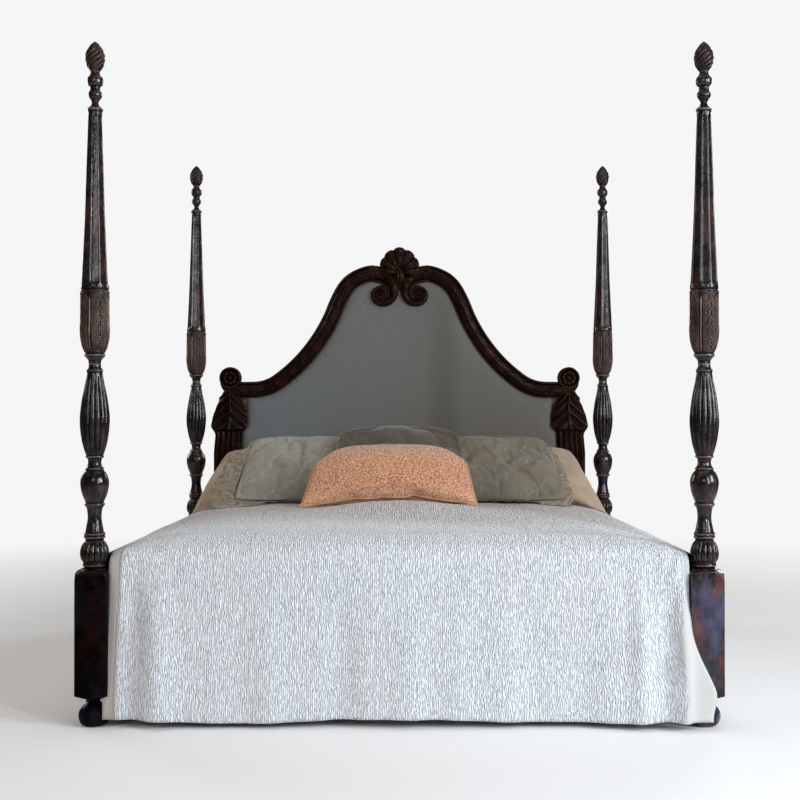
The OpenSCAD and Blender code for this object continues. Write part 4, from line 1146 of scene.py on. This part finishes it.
def coverlet_mesh():
    dx, ox, zx = drape_line(HW, 0.028, 0.014, 4.1)
    dy, oy, zy = drape_line(HL, 0.024, 0.016, 8.0)
    S, L = dx[-1], dy[-1]
    head = 1.0
    step = 0.0115
    s_n = np.interp(0.9575, ox[:401], dx[:401])
    t_n = np.interp(1.0060, oy[:401], dy[:401])
    # grid lines fall on the corner cuts
    ns, nt = int(round(s_n / step)), int(round(t_n / step))
    s = np.r_[-S + (S - s_n) * np.linspace(0, 1, int((S - s_n) / step) + 1)[:-1], s_n * np.linspace(-1, 1, 2 * ns + 1), s_n + (S - s_n) * np.linspace(0, 1, int((S - s_n) / step) + 1)[1:]]
    t = np.r_[np.linspace(-head, 0, int(head / step) + 1)[:-1], t_n * np.linspace(0, 1, nt + 1), t_n + (L - t_n) * np.linspace(0, 1, int((L - t_n) / step) + 1)[1:]]
    Sg, Tg = np.meshgrid(s, t, indexing="ij")
    aS = np.abs(Sg)
    X = np.interp(aS, dx, ox) * np.sign(Sg)
    ZX = np.interp(aS, dx, zx)
    Yo = np.where(Tg < 0, Tg, np.interp(Tg, dy, oy))
    ZY = np.where(Tg < 0, COVER_TOP, np.interp(Tg, dy, zy))
    drop_x = COVER_TOP - ZX
    drop_y = COVER_TOP - ZY
    Z = COVER_TOP - np.hypot(drop_x * np.exp(-drop_y * 3.0), drop_y)
    Y = -Yo
    eps = 1e-6
    foot = Tg > t_n + eps
    cut = (aS > s_n + eps) & foot
    # the foot drop hangs straight beside the posts, then its corners swing out over them
    low = smoothstep(0.05, 0.60, drop_y)
    out = smoothstep(0.28, 0.56, drop_y)
    rt = smoothstep(0.60, 0.95, X) * (Tg > 0)
    lf = smoothstep(0.60, 0.95, -X) * (Tg > 0)
    X = X + rt * (0.004 * low + 0.082 * out ** 1.25 - 0.020 * smoothstep(0.50, 0.60, drop_y)) - lf * (0.002 + 0.018 * low)
    front = rt * (0.042 * smoothstep(0.20, 0.40, drop_y)) + lf * 0.012 * low
    down = smoothstep(0.02, 0.55, drop_y)
    fold = 0.008 * np.sin(X * 9.0 + 0.6) + 0.0055 * np.sin(X * 17.0 + 2.0) + 0.004 * np.sin(X * 31.0 + 5.0 * np.sin(X * 2.0))
    side_fold = 0.024 * np.exp(-((X - 0.795) / 0.034) ** 2) - 0.010 * np.exp(-((X - 0.876) / 0.024) ** 2) + 0.026 * np.exp(-((X - 0.932) / 0.021) ** 2)
    side_fold += 0.016 * np.exp(-((X + 0.80) / 0.045) ** 2) - 0.012 * np.exp(-((X + 0.875) / 0.030) ** 2) + 0.010 * np.exp(-((X + 0.93) / 0.022) ** 2)
    Y = Y - (Tg > 0) * (down * (fold + 0.004) + smoothstep(0.04, 0.30, drop_y) * side_fold) - front
    # drag line from the corner down the right side of the drop
    diag = np.exp(-((X - (0.955 - 0.42 * drop_y)) / 0.020) ** 2) * smoothstep(0.03, 0.10, drop_y) * (1 - smoothstep(0.16, 0.32, drop_y)) * (X > 0)
    diag2 = np.exp(-((X - (0.900 - 0.30 * drop_y)) / 0.016) ** 2) * smoothstep(0.02, 0.08, drop_y) * (1 - smoothstep(0.12, 0.26, drop_y)) * (X > 0)
    Y = Y - 0.017 * diag - 0.010 * diag2
    sdrop = smoothstep(0.05, 0.6, drop_x) * (~foot)
    X = X + np.sign(X) * sdrop * (0.007 * np.sin(Y * 8.3 + 1.0 * np.sign(X)) + 0.0045 * np.sin(Y * 15.1 + 0.4) + 0.003 * np.sin(Y * 29.0 + 1.7) + 0.002)
    top = np.exp(-(np.hypot(drop_x, drop_y)) * 12)
    Z = Z + top * relief(X, Y) + (1 - top) * 0.002 * wob(X * 5, Y * 5 + Z * 3, 23)
    Z = Z + top * 0.0016 * np.sin(X * 27 + 4 * np.sin(Y * 2.3)) * smoothstep(-0.35, 0.45, Y)
    Z = Z + top * 0.0075 * np.clip(0.5 + 0.9 * wob(X * 2.6 + 0.4, Y * 3.4, 77), 0, 1) * smoothstep(0.12, -0.18, Y)
    hemw = 0.006 * np.sin(X * 6 + Y * 5 + 0.8) * low * (Tg > 0) + 0.005 * np.sin(Y * 6.2) * sdrop
    Z = np.maximum(Z + hemw, 0.012)
    co = np.stack([X, Y, Z], 2)
    nu, nv = X.shape
    # a face is kept unless it lies wholly inside a corner cut
    mid_s = (np.abs(s[:-1] + s[1:]) / 2 > s_n)[:, None]
    mid_t = ((t[:-1] + t[1:]) / 2 > t_n)[None, :]
    keep = ~(mid_s & mid_t)
    ob = build("matelasse_coverlet", co, grid_quads(nu, nv, keep=keep))
    attr(ob, "cloth", np.stack([Sg, -Tg, np.zeros_like(Sg)], 2).reshape(-1, 3))
    band = 0.042
    wide = np.where(Sg > 0, 0.012 + 0.080 * smoothstep(0.12, 0.56, drop_y), band)
    soft = np.where(Sg > 0, 0.011, 0.002)
    bd = np.where(Tg > t_n - 0.001, smoothstep(s_n - wide - soft, s_n - wide + soft, aS), 0)
    bd = np.maximum(bd, np.where(aS > s_n - 0.001, smoothstep(t_n - band - 0.002, t_n - band + 0.002, Tg), 0))
    attr(ob, "border", bd.reshape(-1))
    import bmesh
    bm = bmesh.new()
    bm.from_mesh(ob.data)
    bmesh.ops.delete(bm, geom=[v for v in bm.verts if not v.link_faces], context="VERTS")
    bm.to_mesh(ob.data)
    bm.free()
    return ob, 2 * S, head + L, 2 * S * (head + L) - 2 * (S - s_n) * (L - t_n)


cover, cw, cl, carea = coverlet_mesh()
if cover.data.polygons[len(cover.data.polygons) // 2].normal.z < 0:
    cover.data.flip_normals()
sol = cover.modifiers.new("thickness", "SOLIDIFY")
sol.thickness = 0.0035
sol.offset = -1
dress(cover, MC, "made_mattress", "coverlet", "coverlet")
print("coverlet flat", round(cw, 3), round(cl, 3), "area", round(carea, 3))


def mattress_mesh():
    a, b, rc = 0.962, 1.012, 0.06
    # rounded rectangle outline, then rings from the bottom's middle over the side to the top's middle
    cor = []
    for cx, cy, a0 in ((a - rc, b - rc, 0), (-a + rc, b - rc, 90), (-a + rc, -b + rc, 180), (a - rc, -b + rc, 270)):
        for k in range(9):
            t = math.radians(a0 + k * 90 / 8)
            cor.append((cx + rc * math.cos(t), cy + rc * math.sin(t)))
    ring = resample(np.array(cor + [cor[0]]), 0.045)[:-1]
    z0, z1 = 0.331, 0.455
    prof = []
    for f in (0.02, 0.2, 0.4, 0.6, 0.78, 0.9, 0.965, 0.99):
        prof.append((f, z0 + 0.0005, 1))
    for k in range(1, 7):
        t = k / 7
        prof.append((1.0 - 0.004 * abs(math.sin(t * math.pi * 2)), z0 + 0.006 + (z1 - z0) * t, 0))
    c = crown(1.0, 0.150, 5, 40)[::-1]
    for x, z in c[2::3]:
        prof.append((x * 0.998, 0.458 + z, 2))
    prof.append((0.02, 0.608, 2))
    rows = []
    for f, z, kind in prof:
        rows.append(np.stack([ring[:, 0] * f, ring[:, 1] * f, np.full(len(ring), z)], 1))
    co = np.array(rows)
    X, Y, Z = co[..., 0], co[..., 1], co[..., 2]
    nu, nv = co.shape[:2]
    ob = build("mattress_ticked", co, grid_quads(nu, nv, False, True), extra=[list(range(nv)), [(nu - 1) * nv + k for k in range(nv)][::-1]])
    outward(ob)
    return ob, ring


mat_ob, ring = mattress_mesh()
dress(mat_ob, MT, "made_mattress", "ticking", "mattress")
for nm, z, f in (("low", 0.340, 0.998), ("high", 0.470, 0.998)):
    tb = tube("mattress_piping_" + nm, np.stack([ring[:, 0] * f, ring[:, 1] * f, np.full(len(ring), z)], 1), 0.005, 8, True)
    dress(tb, MT, "made_mattress", "ticking")


# pillows: two cut panels sewn round their edge and blown up
def pillow(name, w, h, t, seed, taper=(0.0, 0.0), arch=0.0, pull=(0.04, 0.05), round_=0.05, cell=0.0125, force=2.2, slack=1.0, low_round=1.0):
    """A stuffed case in its own flat frame, x wide, y high, z thick, and its seam's vertex loop. taper draws in the left and right sides towards the top."""
    nx, ny = int(w / cell) | 1, int(h / cell) | 1
    U, V = np.meshgrid(np.linspace(-1, 1, nx), np.linspace(-1, 1, ny), indexing="ij")
    k = np.where(U > 0, taper[1], taper[0]) * (V + 1) / 2
    top = np.where(V > 0, 1.0, low_round)
    X = U * w / 2 * (1 - pull[0] * (1 - V ** 2)) * (1 - k) * (1 - round_ * top * (U ** 2 * V ** 4))
    Y = V * h / 2 * (1 - pull[1] * (1 - U ** 2)) * (1 - 2 * round_ * top * (U ** 6 * V ** 2))
    Y = Y - arch * np.abs(U) ** 2.6 * (V + 1) / 2
    bulge = (np.clip(1 - np.abs(U) ** 2.6, 0, 1) * np.clip(1 - np.abs(V) ** 2.2, 0, 1)) ** 0.6
    rough = 0.0012 * wob(X * 22, Y * 22, seed)
    flat = 0.82
    Zt = t / 2 * bulge * flat + 0.0005 + rough * bulge
    idx_f = np.arange(nx * ny).reshape(nx, ny)
    border = (np.arange(nx)[:, None] % (nx - 1) == 0) | (np.arange(ny)[None, :] % (ny - 1) == 0)
    Zt = np.where(border, 0.0, Zt)
    idx_b = np.full((nx, ny), -1)
    idx_b[~border] = nx * ny + np.arange((~border).sum())
    idx_b[border] = idx_f[border]
    co = np.concatenate([np.stack([X, Y, Zt], 2).reshape(-1, 3), np.stack([X, Y, -Zt], 2)[~border]])
    cloth = np.concatenate([np.stack([X, Y, np.zeros_like(X)], 2).reshape(-1, 3), np.stack([X + 3, Y, np.zeros_like(X)], 2)[~border]])
    F = []
    for i in range(nx - 1):
        for j in range(ny - 1):
            F.append([idx_f[i, j], idx_f[i + 1, j], idx_f[i + 1, j + 1], idx_f[i, j + 1]])
            F.append([idx_b[i, j], idx_b[i, j + 1], idx_b[i + 1, j + 1], idx_b[i + 1, j]])
    ob = build(name, co, F)
    outward(ob)
    seam = [idx_f[i, 0] for i in range(nx)] + [idx_f[nx - 1, j] for j in range(1, ny)] + [idx_f[i, ny - 1] for i in range(nx - 2, -1, -1)] + [idx_f[0, j] for j in range(ny - 2, 0, -1)]
    lo0, hi0 = co.min(0), co.max(0)
    md = ob.modifiers.new("cloth", "CLOTH")
    st = md.settings
    st.quality = 5
    st.mass = 0.25
    st.tension_stiffness = st.compression_stiffness = 40
    st.shear_stiffness = 16
    st.bending_stiffness = 0.5
    st.use_pressure = True
    st.uniform_pressure_force = force
    st.effector_weights.gravity = 0
    md.collision_settings.use_collision = False
    md.collision_settings.use_self_collision = False
    md.point_cache.frame_start = 1
    md.point_cache.frame_end = 24
    for f in range(1, 15):
        scene.frame_set(f)
    dg = bpy.context.evaluated_depsgraph_get()
    ev = ob.evaluated_get(dg).to_mesh()
    c = np.zeros(len(ev.vertices) * 3)
    ev.vertices.foreach_get("co", c)
    c = c.reshape(-1, 3)
    ob.evaluated_get(dg).to_mesh_clear()
    ob.modifiers.remove(md)
    scene.frame_set(1)
    print(name, "blown to", (c.max(0) - c.min(0)).round(3))
    lo, hi = c.min(0), c.max(0)
    target = np.array([hi0[0] - lo0[0], hi0[1] - lo0[1], t])
    c = (c - (lo + hi) / 2) * target / (hi - lo) + np.array([(hi0[0] + lo0[0]) / 2, (hi0[1] + lo0[1]) / 2, 0])
    # seam puckers and slack, over the whole case
    Ua = np.concatenate([U.reshape(-1), U[~border]])
    Va = np.concatenate([V.reshape(-1), V[~border]])
    dx_, dy_ = (1 - np.abs(Ua)) * w / 2, (1 - np.abs(Va)) * h / 2
    xa, ya = c[:, 0], c[:, 1]
    rng = np.random.RandomState(seed)
    ph = rng.uniform(0, TAU, 6)
    along = np.sin(xa * TAU / 0.047 + ph[0] + 2.0 * np.sin(xa * 11 + ph[1])) * np.exp(-dy_ / 0.032) * (0.55 + 0.45 * np.sin(xa * 17 + ph[2]))
    across = np.sin(ya * TAU / 0.043 + ph[3] + 1.6 * np.sin(ya * 14 + ph[4])) * np.exp(-dx_ / 0.045) * (0.6 + 0.4 * np.sin(ya * 23 + ph[5]))
    corner = np.exp(-np.hypot(dx_, dy_) / 0.10) * np.sin((dx_ - dy_) * TAU / 0.055 + ph[1])
    loose = 0.0030 * wob(xa * 3.2, ya * 4.4, seed + 3) + 0.0016 * wob(xa * 10, ya * 8, seed + 4)
    inside = np.clip(np.minimum(dx_, dy_) / 0.012, 0, 1)
    c[:, 2] += np.sign(c[:, 2]) * inside * (0.0026 * along + 0.0034 * across + (0.0030 * corner + loose) * slack)
    ob.data.vertices.foreach_set("co", c.ravel())
    ob.data.update()
    attr(ob, "cloth", cloth)
    return ob, seam


def get_co(ob):
    c = np.zeros(len(ob.data.vertices) * 3)
    ob.data.vertices.foreach_get("co", c)
    return c.reshape(-1, 3)


def set_co(ob, c):
    ob.data.vertices.foreach_set("co", np.asarray(c, float).ravel())
    ob.data.update()


def lens_low(h, t, th):
    a = np.linspace(0, TAU, 400)
    x = h / 2 * np.sign(np.cos(a)) * np.abs(np.cos(a)) ** (2 / 2.3)
    y = t / 2 * np.sign(np.sin(a)) * np.abs(np.sin(a)) ** (2 / 2.3)
    return (x * math.sin(th) + y * math.cos(th)).min()


def lean(ob, h, t, deg, xc, yc, roll=0.0, droop=None):
    """Stands a flat pillow up at its lean, as its solid stands, and beds it into the coverlet. droop = (side, start, depth) lets one end hang."""
    th = math.radians(deg)
    x, y, z = get_co(ob).T
    if roll:
        x, y = x * math.cos(roll) - y * math.sin(roll), x * math.sin(roll) + y * math.cos(roll)
    Y = yc + y * math.cos(th) - z * math.sin(th)
    Z = (COVER_TOP + 0.0015 - lens_low(h, t, th)) + y * math.sin(th) + z * math.cos(th)
    X = xc + x
    if droop:
        side, start, depth = droop
        q = np.clip((side * X - start) / 0.22, 0, 1.3)
        Z = Z - depth * q ** 1.7
    low = np.clip(1 - (Z - COVER_TOP) / 0.30, 0, 1)
    Z = Z - (COVER_TOP - np.minimum(cover_height(X, Y), COVER_TOP)) * low * 0.85
    floor = cover_height(X, Y) + 0.0008
    Z = np.where(Z < floor + 0.006, floor + 0.0002 + 0.006 * np.exp((Z - floor - 0.006) / 0.02), Z)
    set_co(ob, np.stack([X, Y, Z], 1))


def subdivide(ob, levels=1):
    md = ob.modifiers.new("smooth", "SUBSURF")
    md.levels = md.render_levels = levels


def piping(name, ob, seam, r, mat, body, slot):
    c = get_co(ob)[seam]
    k = 1
    cc = (np.roll(c, 1, 0) + 2 * c + np.roll(c, -1, 0)) / 4
    tb = tube(name, cc, r, 8, True)
    attr(tb, "cloth", get_co(tb)[:, [0, 2, 1]] * 1.0)
    dress(tb, mat, body, slot)
    return tb


def flange(name, ob, seam, width, waves, amp, mat, body, slot, sides):
    """A ruffled border sewn into the seam: a strip out from it, in soft flutes."""
    co = get_co(ob)
    c = co[seam]
    n = len(c)
    centre = c.mean(0)
    tang = np.roll(c, -1, 0) - np.roll(c, 1, 0)
    tang /= np.linalg.norm(tang, axis=1)[:, None] + 1e-9
    # the pillow's own plane
    u, s, vt = np.linalg.svd(c - centre, full_matrices=False)
    nrm = vt[2]
    if nrm[1] > 0:
        nrm = -nrm
    out = np.cross(tang, nrm)
    flip = np.sign((out * (c - centre)).sum(1))
    out = out * flip[:, None]
    k = 3
    for _ in range(3):
        out = (np.roll(out, 1, 0) + out + np.roll(out, -1, 0)) / 3
    out /= np.linalg.norm(out, axis=1)[:, None]
    arc = np.r_[0, np.cumsum(np.linalg.norm(np.diff(c, axis=0), axis=1))]
    m = 9
    rows = []
    w = width * sides
    for j in range(m):
        t = j / (m - 1)
        ruff = amp * t * np.sin(arc * TAU / waves + 1.2 * np.sin(arc * 9)) + amp * 0.5 * t * np.sin(arc * TAU / waves * 0.47 + 2.0)
        p = c + out * (w * t)[:, None] + nrm[None, :] * ruff[:, None]
        rows.append(p)
    P = np.array(rows)
    P[..., 2] = np.maximum(P[..., 2], cover_height(P[..., 0], P[..., 1]) + 0.003)
    f = grid_quads(m, n, False, True)
    fl = build(name, P, f)
    aa = np.repeat(arc[None, :], m, 0)
    attr(fl, "cloth", np.stack([aa, np.repeat(np.linspace(0, width, m)[:, None], n, 1), np.zeros_like(aa)], 2).reshape(-1, 3))
    sd = fl.modifiers.new("thickness", "SOLIDIFY")
    sd.thickness = 0.0022
    sd.offset = 0
    subdivide(fl)
    dress(fl, mat, body, slot)
    return fl


def make_room(ob, mover, axis, run, gap=0.0030, cell=0.012):
    """Presses ob back wherever mover would slide into it on its way along axis."""
    side = np.array([0, -axis[2], axis[1]])
    c, m = get_co(ob), get_co(mover)
    at = lambda q: (np.rint((q[:, 0] + 1.2) / cell).astype(int), np.rint((q @ axis + 1.2) / cell).astype(int))
    env = np.full((220, 300), 9.0)
    np.minimum.at(env, at(m), m @ side)
    for ax in (0, 1):
        env = np.minimum(env, np.minimum(np.roll(env, 1, ax), np.roll(env, -1, ax)))
    swept = env.copy()
    for k in range(1, int(math.ceil(run / cell)) + 1):
        swept = np.minimum(swept, np.roll(env, k, 1))
    push = np.maximum(c @ side - (swept[at(c)] - gap), 0)
    # only the face that looks at the mover gives way; the pillow's back stays
    print(ob.name, "pressed back by", push.max().round(4), "at", int((push > 0).sum()), "points")
    edges = np.zeros(len(ob.data.edges) * 2, int)
    ob.data.edges.foreach_get("vertices", edges)
    e0, e1 = edges.reshape(-1, 2).T
    count = np.bincount(e0, minlength=len(c)) + np.bincount(e1, minlength=len(c))
    wide = push.copy()
    for _ in range(14):
        mean = (np.bincount(e0, wide[e1], len(c)) + np.bincount(e1, wide[e0], len(c))) / np.maximum(count, 1)
        wide = np.maximum(push, mean)
    set_co(ob, c - wide[:, None] * side)


for side, s in (("left", -1), ("right", 1)):
    tp = (0.0, 0.30) if s > 0 else (0.30, 0.0)
    ob, seam = pillow("cream_pillow_" + side, 0.96, 0.46, 0.15, 31 + s, taper=tp, pull=(0.02, 0.05), round_=0.04)
    lean(ob, 0.44, 0.11, 30, s * 0.520, 0.812, droop=(s, 0.80, 0.075))
    subdivide(ob)
    dress(ob, MCREAM, "sleeping_pillow_" + side, "pillow_cream", "sleeping_pillow_" + side)

    tp = (0.0, 0.17) if s > 0 else (0.17, 0.0)
    ob, seam = pillow("king_sham_" + side, 0.76, 0.45, 0.15, 41 + s, taper=tp, arch=0.012, round_=0.05)
    lean(ob, 0.44, 0.12, 42, s * 0.392, 0.646)
    co = get_co(ob)[seam]
    wide = 0.115 if s < 0 else 0.040
    rise = np.clip((co[:, 2] - co[:, 2].min()) / np.ptp(co[:, 2]), 0, 1)
    sides = np.clip(0.03 + 0.97 * smoothstep(0.60, 0.715, s * co[:, 0]), 0, 1) * (1 - 0.35 * rise) * (1 - 0.94 * smoothstep(0.52, 0.92, rise))
    subdivide(ob)
    dress(ob, MS if s > 0 else MSL, "sham_" + side, "sham", "sham_" + side)
    flange("sham_border_" + side, ob, seam, wide, 0.052, 0.0050, MG, "sham_" + side, "sham", sides)

ob, seam = pillow("square_pillow", 0.62, 0.51, 0.13, 51, taper=(0.05, 0.05), arch=0.035, round_=0.06)
lean(ob, 0.44, 0.11, 48, 0.0, 0.505)
make_room(bpy.data.objects["king_sham_left"], ob, np.array([0, 0.69466, 0.71934]), 0.15)
subdivide(ob)
dress(ob, MN, "centre_pillow", "centre_cloth", "centre_pillow")

ob, seam = pillow("long_lumbar_pillow", 0.770, 0.335, 0.16, 61, taper=(0.215, 0.140), arch=0.045, pull=(0.0, 0.02), round_=0.09, force=2.6, slack=0.22, low_round=-0.05)
lean(ob, 0.32, 0.13, 52, -0.050, 0.306, roll=math.radians(1.0))
subdivide(ob)
dress(ob, MB, "lumbar_pillow", "lumbar_cloth", "lumbar_pillow")
piping("lumbar_piping", ob, seam, 0.0027, MPIPE, "lumbar_pillow", "lumbar_cloth")

# ------------------------------------------------------------------ studio
n = 96
ring_r = np.r_[0.02, np.linspace(0.5, 12.0, 24)]
T, R = np.meshgrid(np.arange(n) * TAU / n, ring_r)
floor = build("studio_floor", np.stack([R * np.cos(T), R * np.sin(T), 0 * R], 2), grid_quads(len(ring_r), n, False, True), extra=[list(range(n))])
mf = Mat("studio_floor")
mf.set(color=(0.84, 0.84, 0.84, 1), rough=0.9, spec=0.1)
radius = mf.n("VectorMath", {0: mf.obj()}, 1, operation="LENGTH")
fade = mf.n("MapRange", {"Value": radius, "From Min": 1.7, "From Max": 6.0}, interpolation_type="SMOOTHSTEP")
clear = mf.n("BsdfTransparent")
both = mf.t.nodes.new("ShaderNodeMixShader")
mf.t.links.new(fade, both.inputs[0])
mf.t.links.new(mf.b.outputs[0], both.inputs[1])
mf.t.links.new(clear, both.inputs[2])
mf.t.links.new(both.outputs[0], mf.out.inputs[0])
floor.data.materials.append(mf.m)

world = bpy.data.worlds.new("studio")
scene.world = world
world.use_nodes = True
wt = world.node_tree
bg = wt.nodes["Background"]
bg.inputs[0].default_value = (0.88, 0.93, 1.0, 1)
bg.inputs[1].default_value = 0.12
pale = wt.nodes.new("ShaderNodeBackground")
pale.inputs[0].default_value = (0.90, 0.90, 0.905, 1)
pale.inputs[1].default_value = 1.02
lp = wt.nodes.new("ShaderNodeLightPath")
mx = wt.nodes.new("ShaderNodeMixShader")
wt.links.new(lp.outputs["Is Camera Ray"], mx.inputs[0])
wt.links.new(bg.outputs[0], mx.inputs[1])
wt.links.new(pale.outputs[0], mx.inputs[2])
wt.links.new(mx.outputs[0], wt.nodes["World Output"].inputs[0])


def area(name, loc, target, size, power, color, glint=True):
    l = bpy.data.lights.new(name, "AREA")
    l.shape = "RECTANGLE"
    l.size, l.size_y = size
    l.energy = power
    l.color = color
    o = bpy.data.objects.new(name, l)
    o.location = loc
    o.rotation_euler = (Vector(target) - Vector(loc)).to_track_quat("-Z", "Y").to_euler()
    o.visible_glossy = glint
    scene.collection.objects.link(o)
    return o


area("window_right", (5.2, -4.0, 2.8), (0, -0.6, 0.7), (2.2, 2.8), 345, (0.90, 0.95, 1.0))
area("window_left", (-4.4, -3.4, 2.3), (0, -0.6, 0.7), (1.6, 2.4), 58, (1.0, 0.79, 0.60), False)
area("strip_right", (2.45, -4.85, 2.0), (0.6, -1.0, 1.2), (0.14, 2.8), 90, (0.84, 0.91, 1.0))
area("front_soft", (-0.9, -6.4, 2.9), (0, -1.0, 0.5), (2.4, 1.4), 52, (0.95, 0.98, 1.0))
area("ceiling", (0.3, -0.6, 5.2), (0, -0.2, 0), (4.5, 4.5), 60, (1.0, 0.91, 0.82))
area("rim_back", (3.0, 4.2, 3.2), (0, 0.6, 1.2), (1.6, 2.0), 75, (1.0, 0.96, 0.90))
area("rim_left", (-4.2, 2.6, 2.6), (0, 0.2, 0.9), (1.6, 2.2), 60, (0.94, 0.97, 1.0))
scene.view_settings.view_transform = "Standard"
scene.view_settings.exposure = 0.0
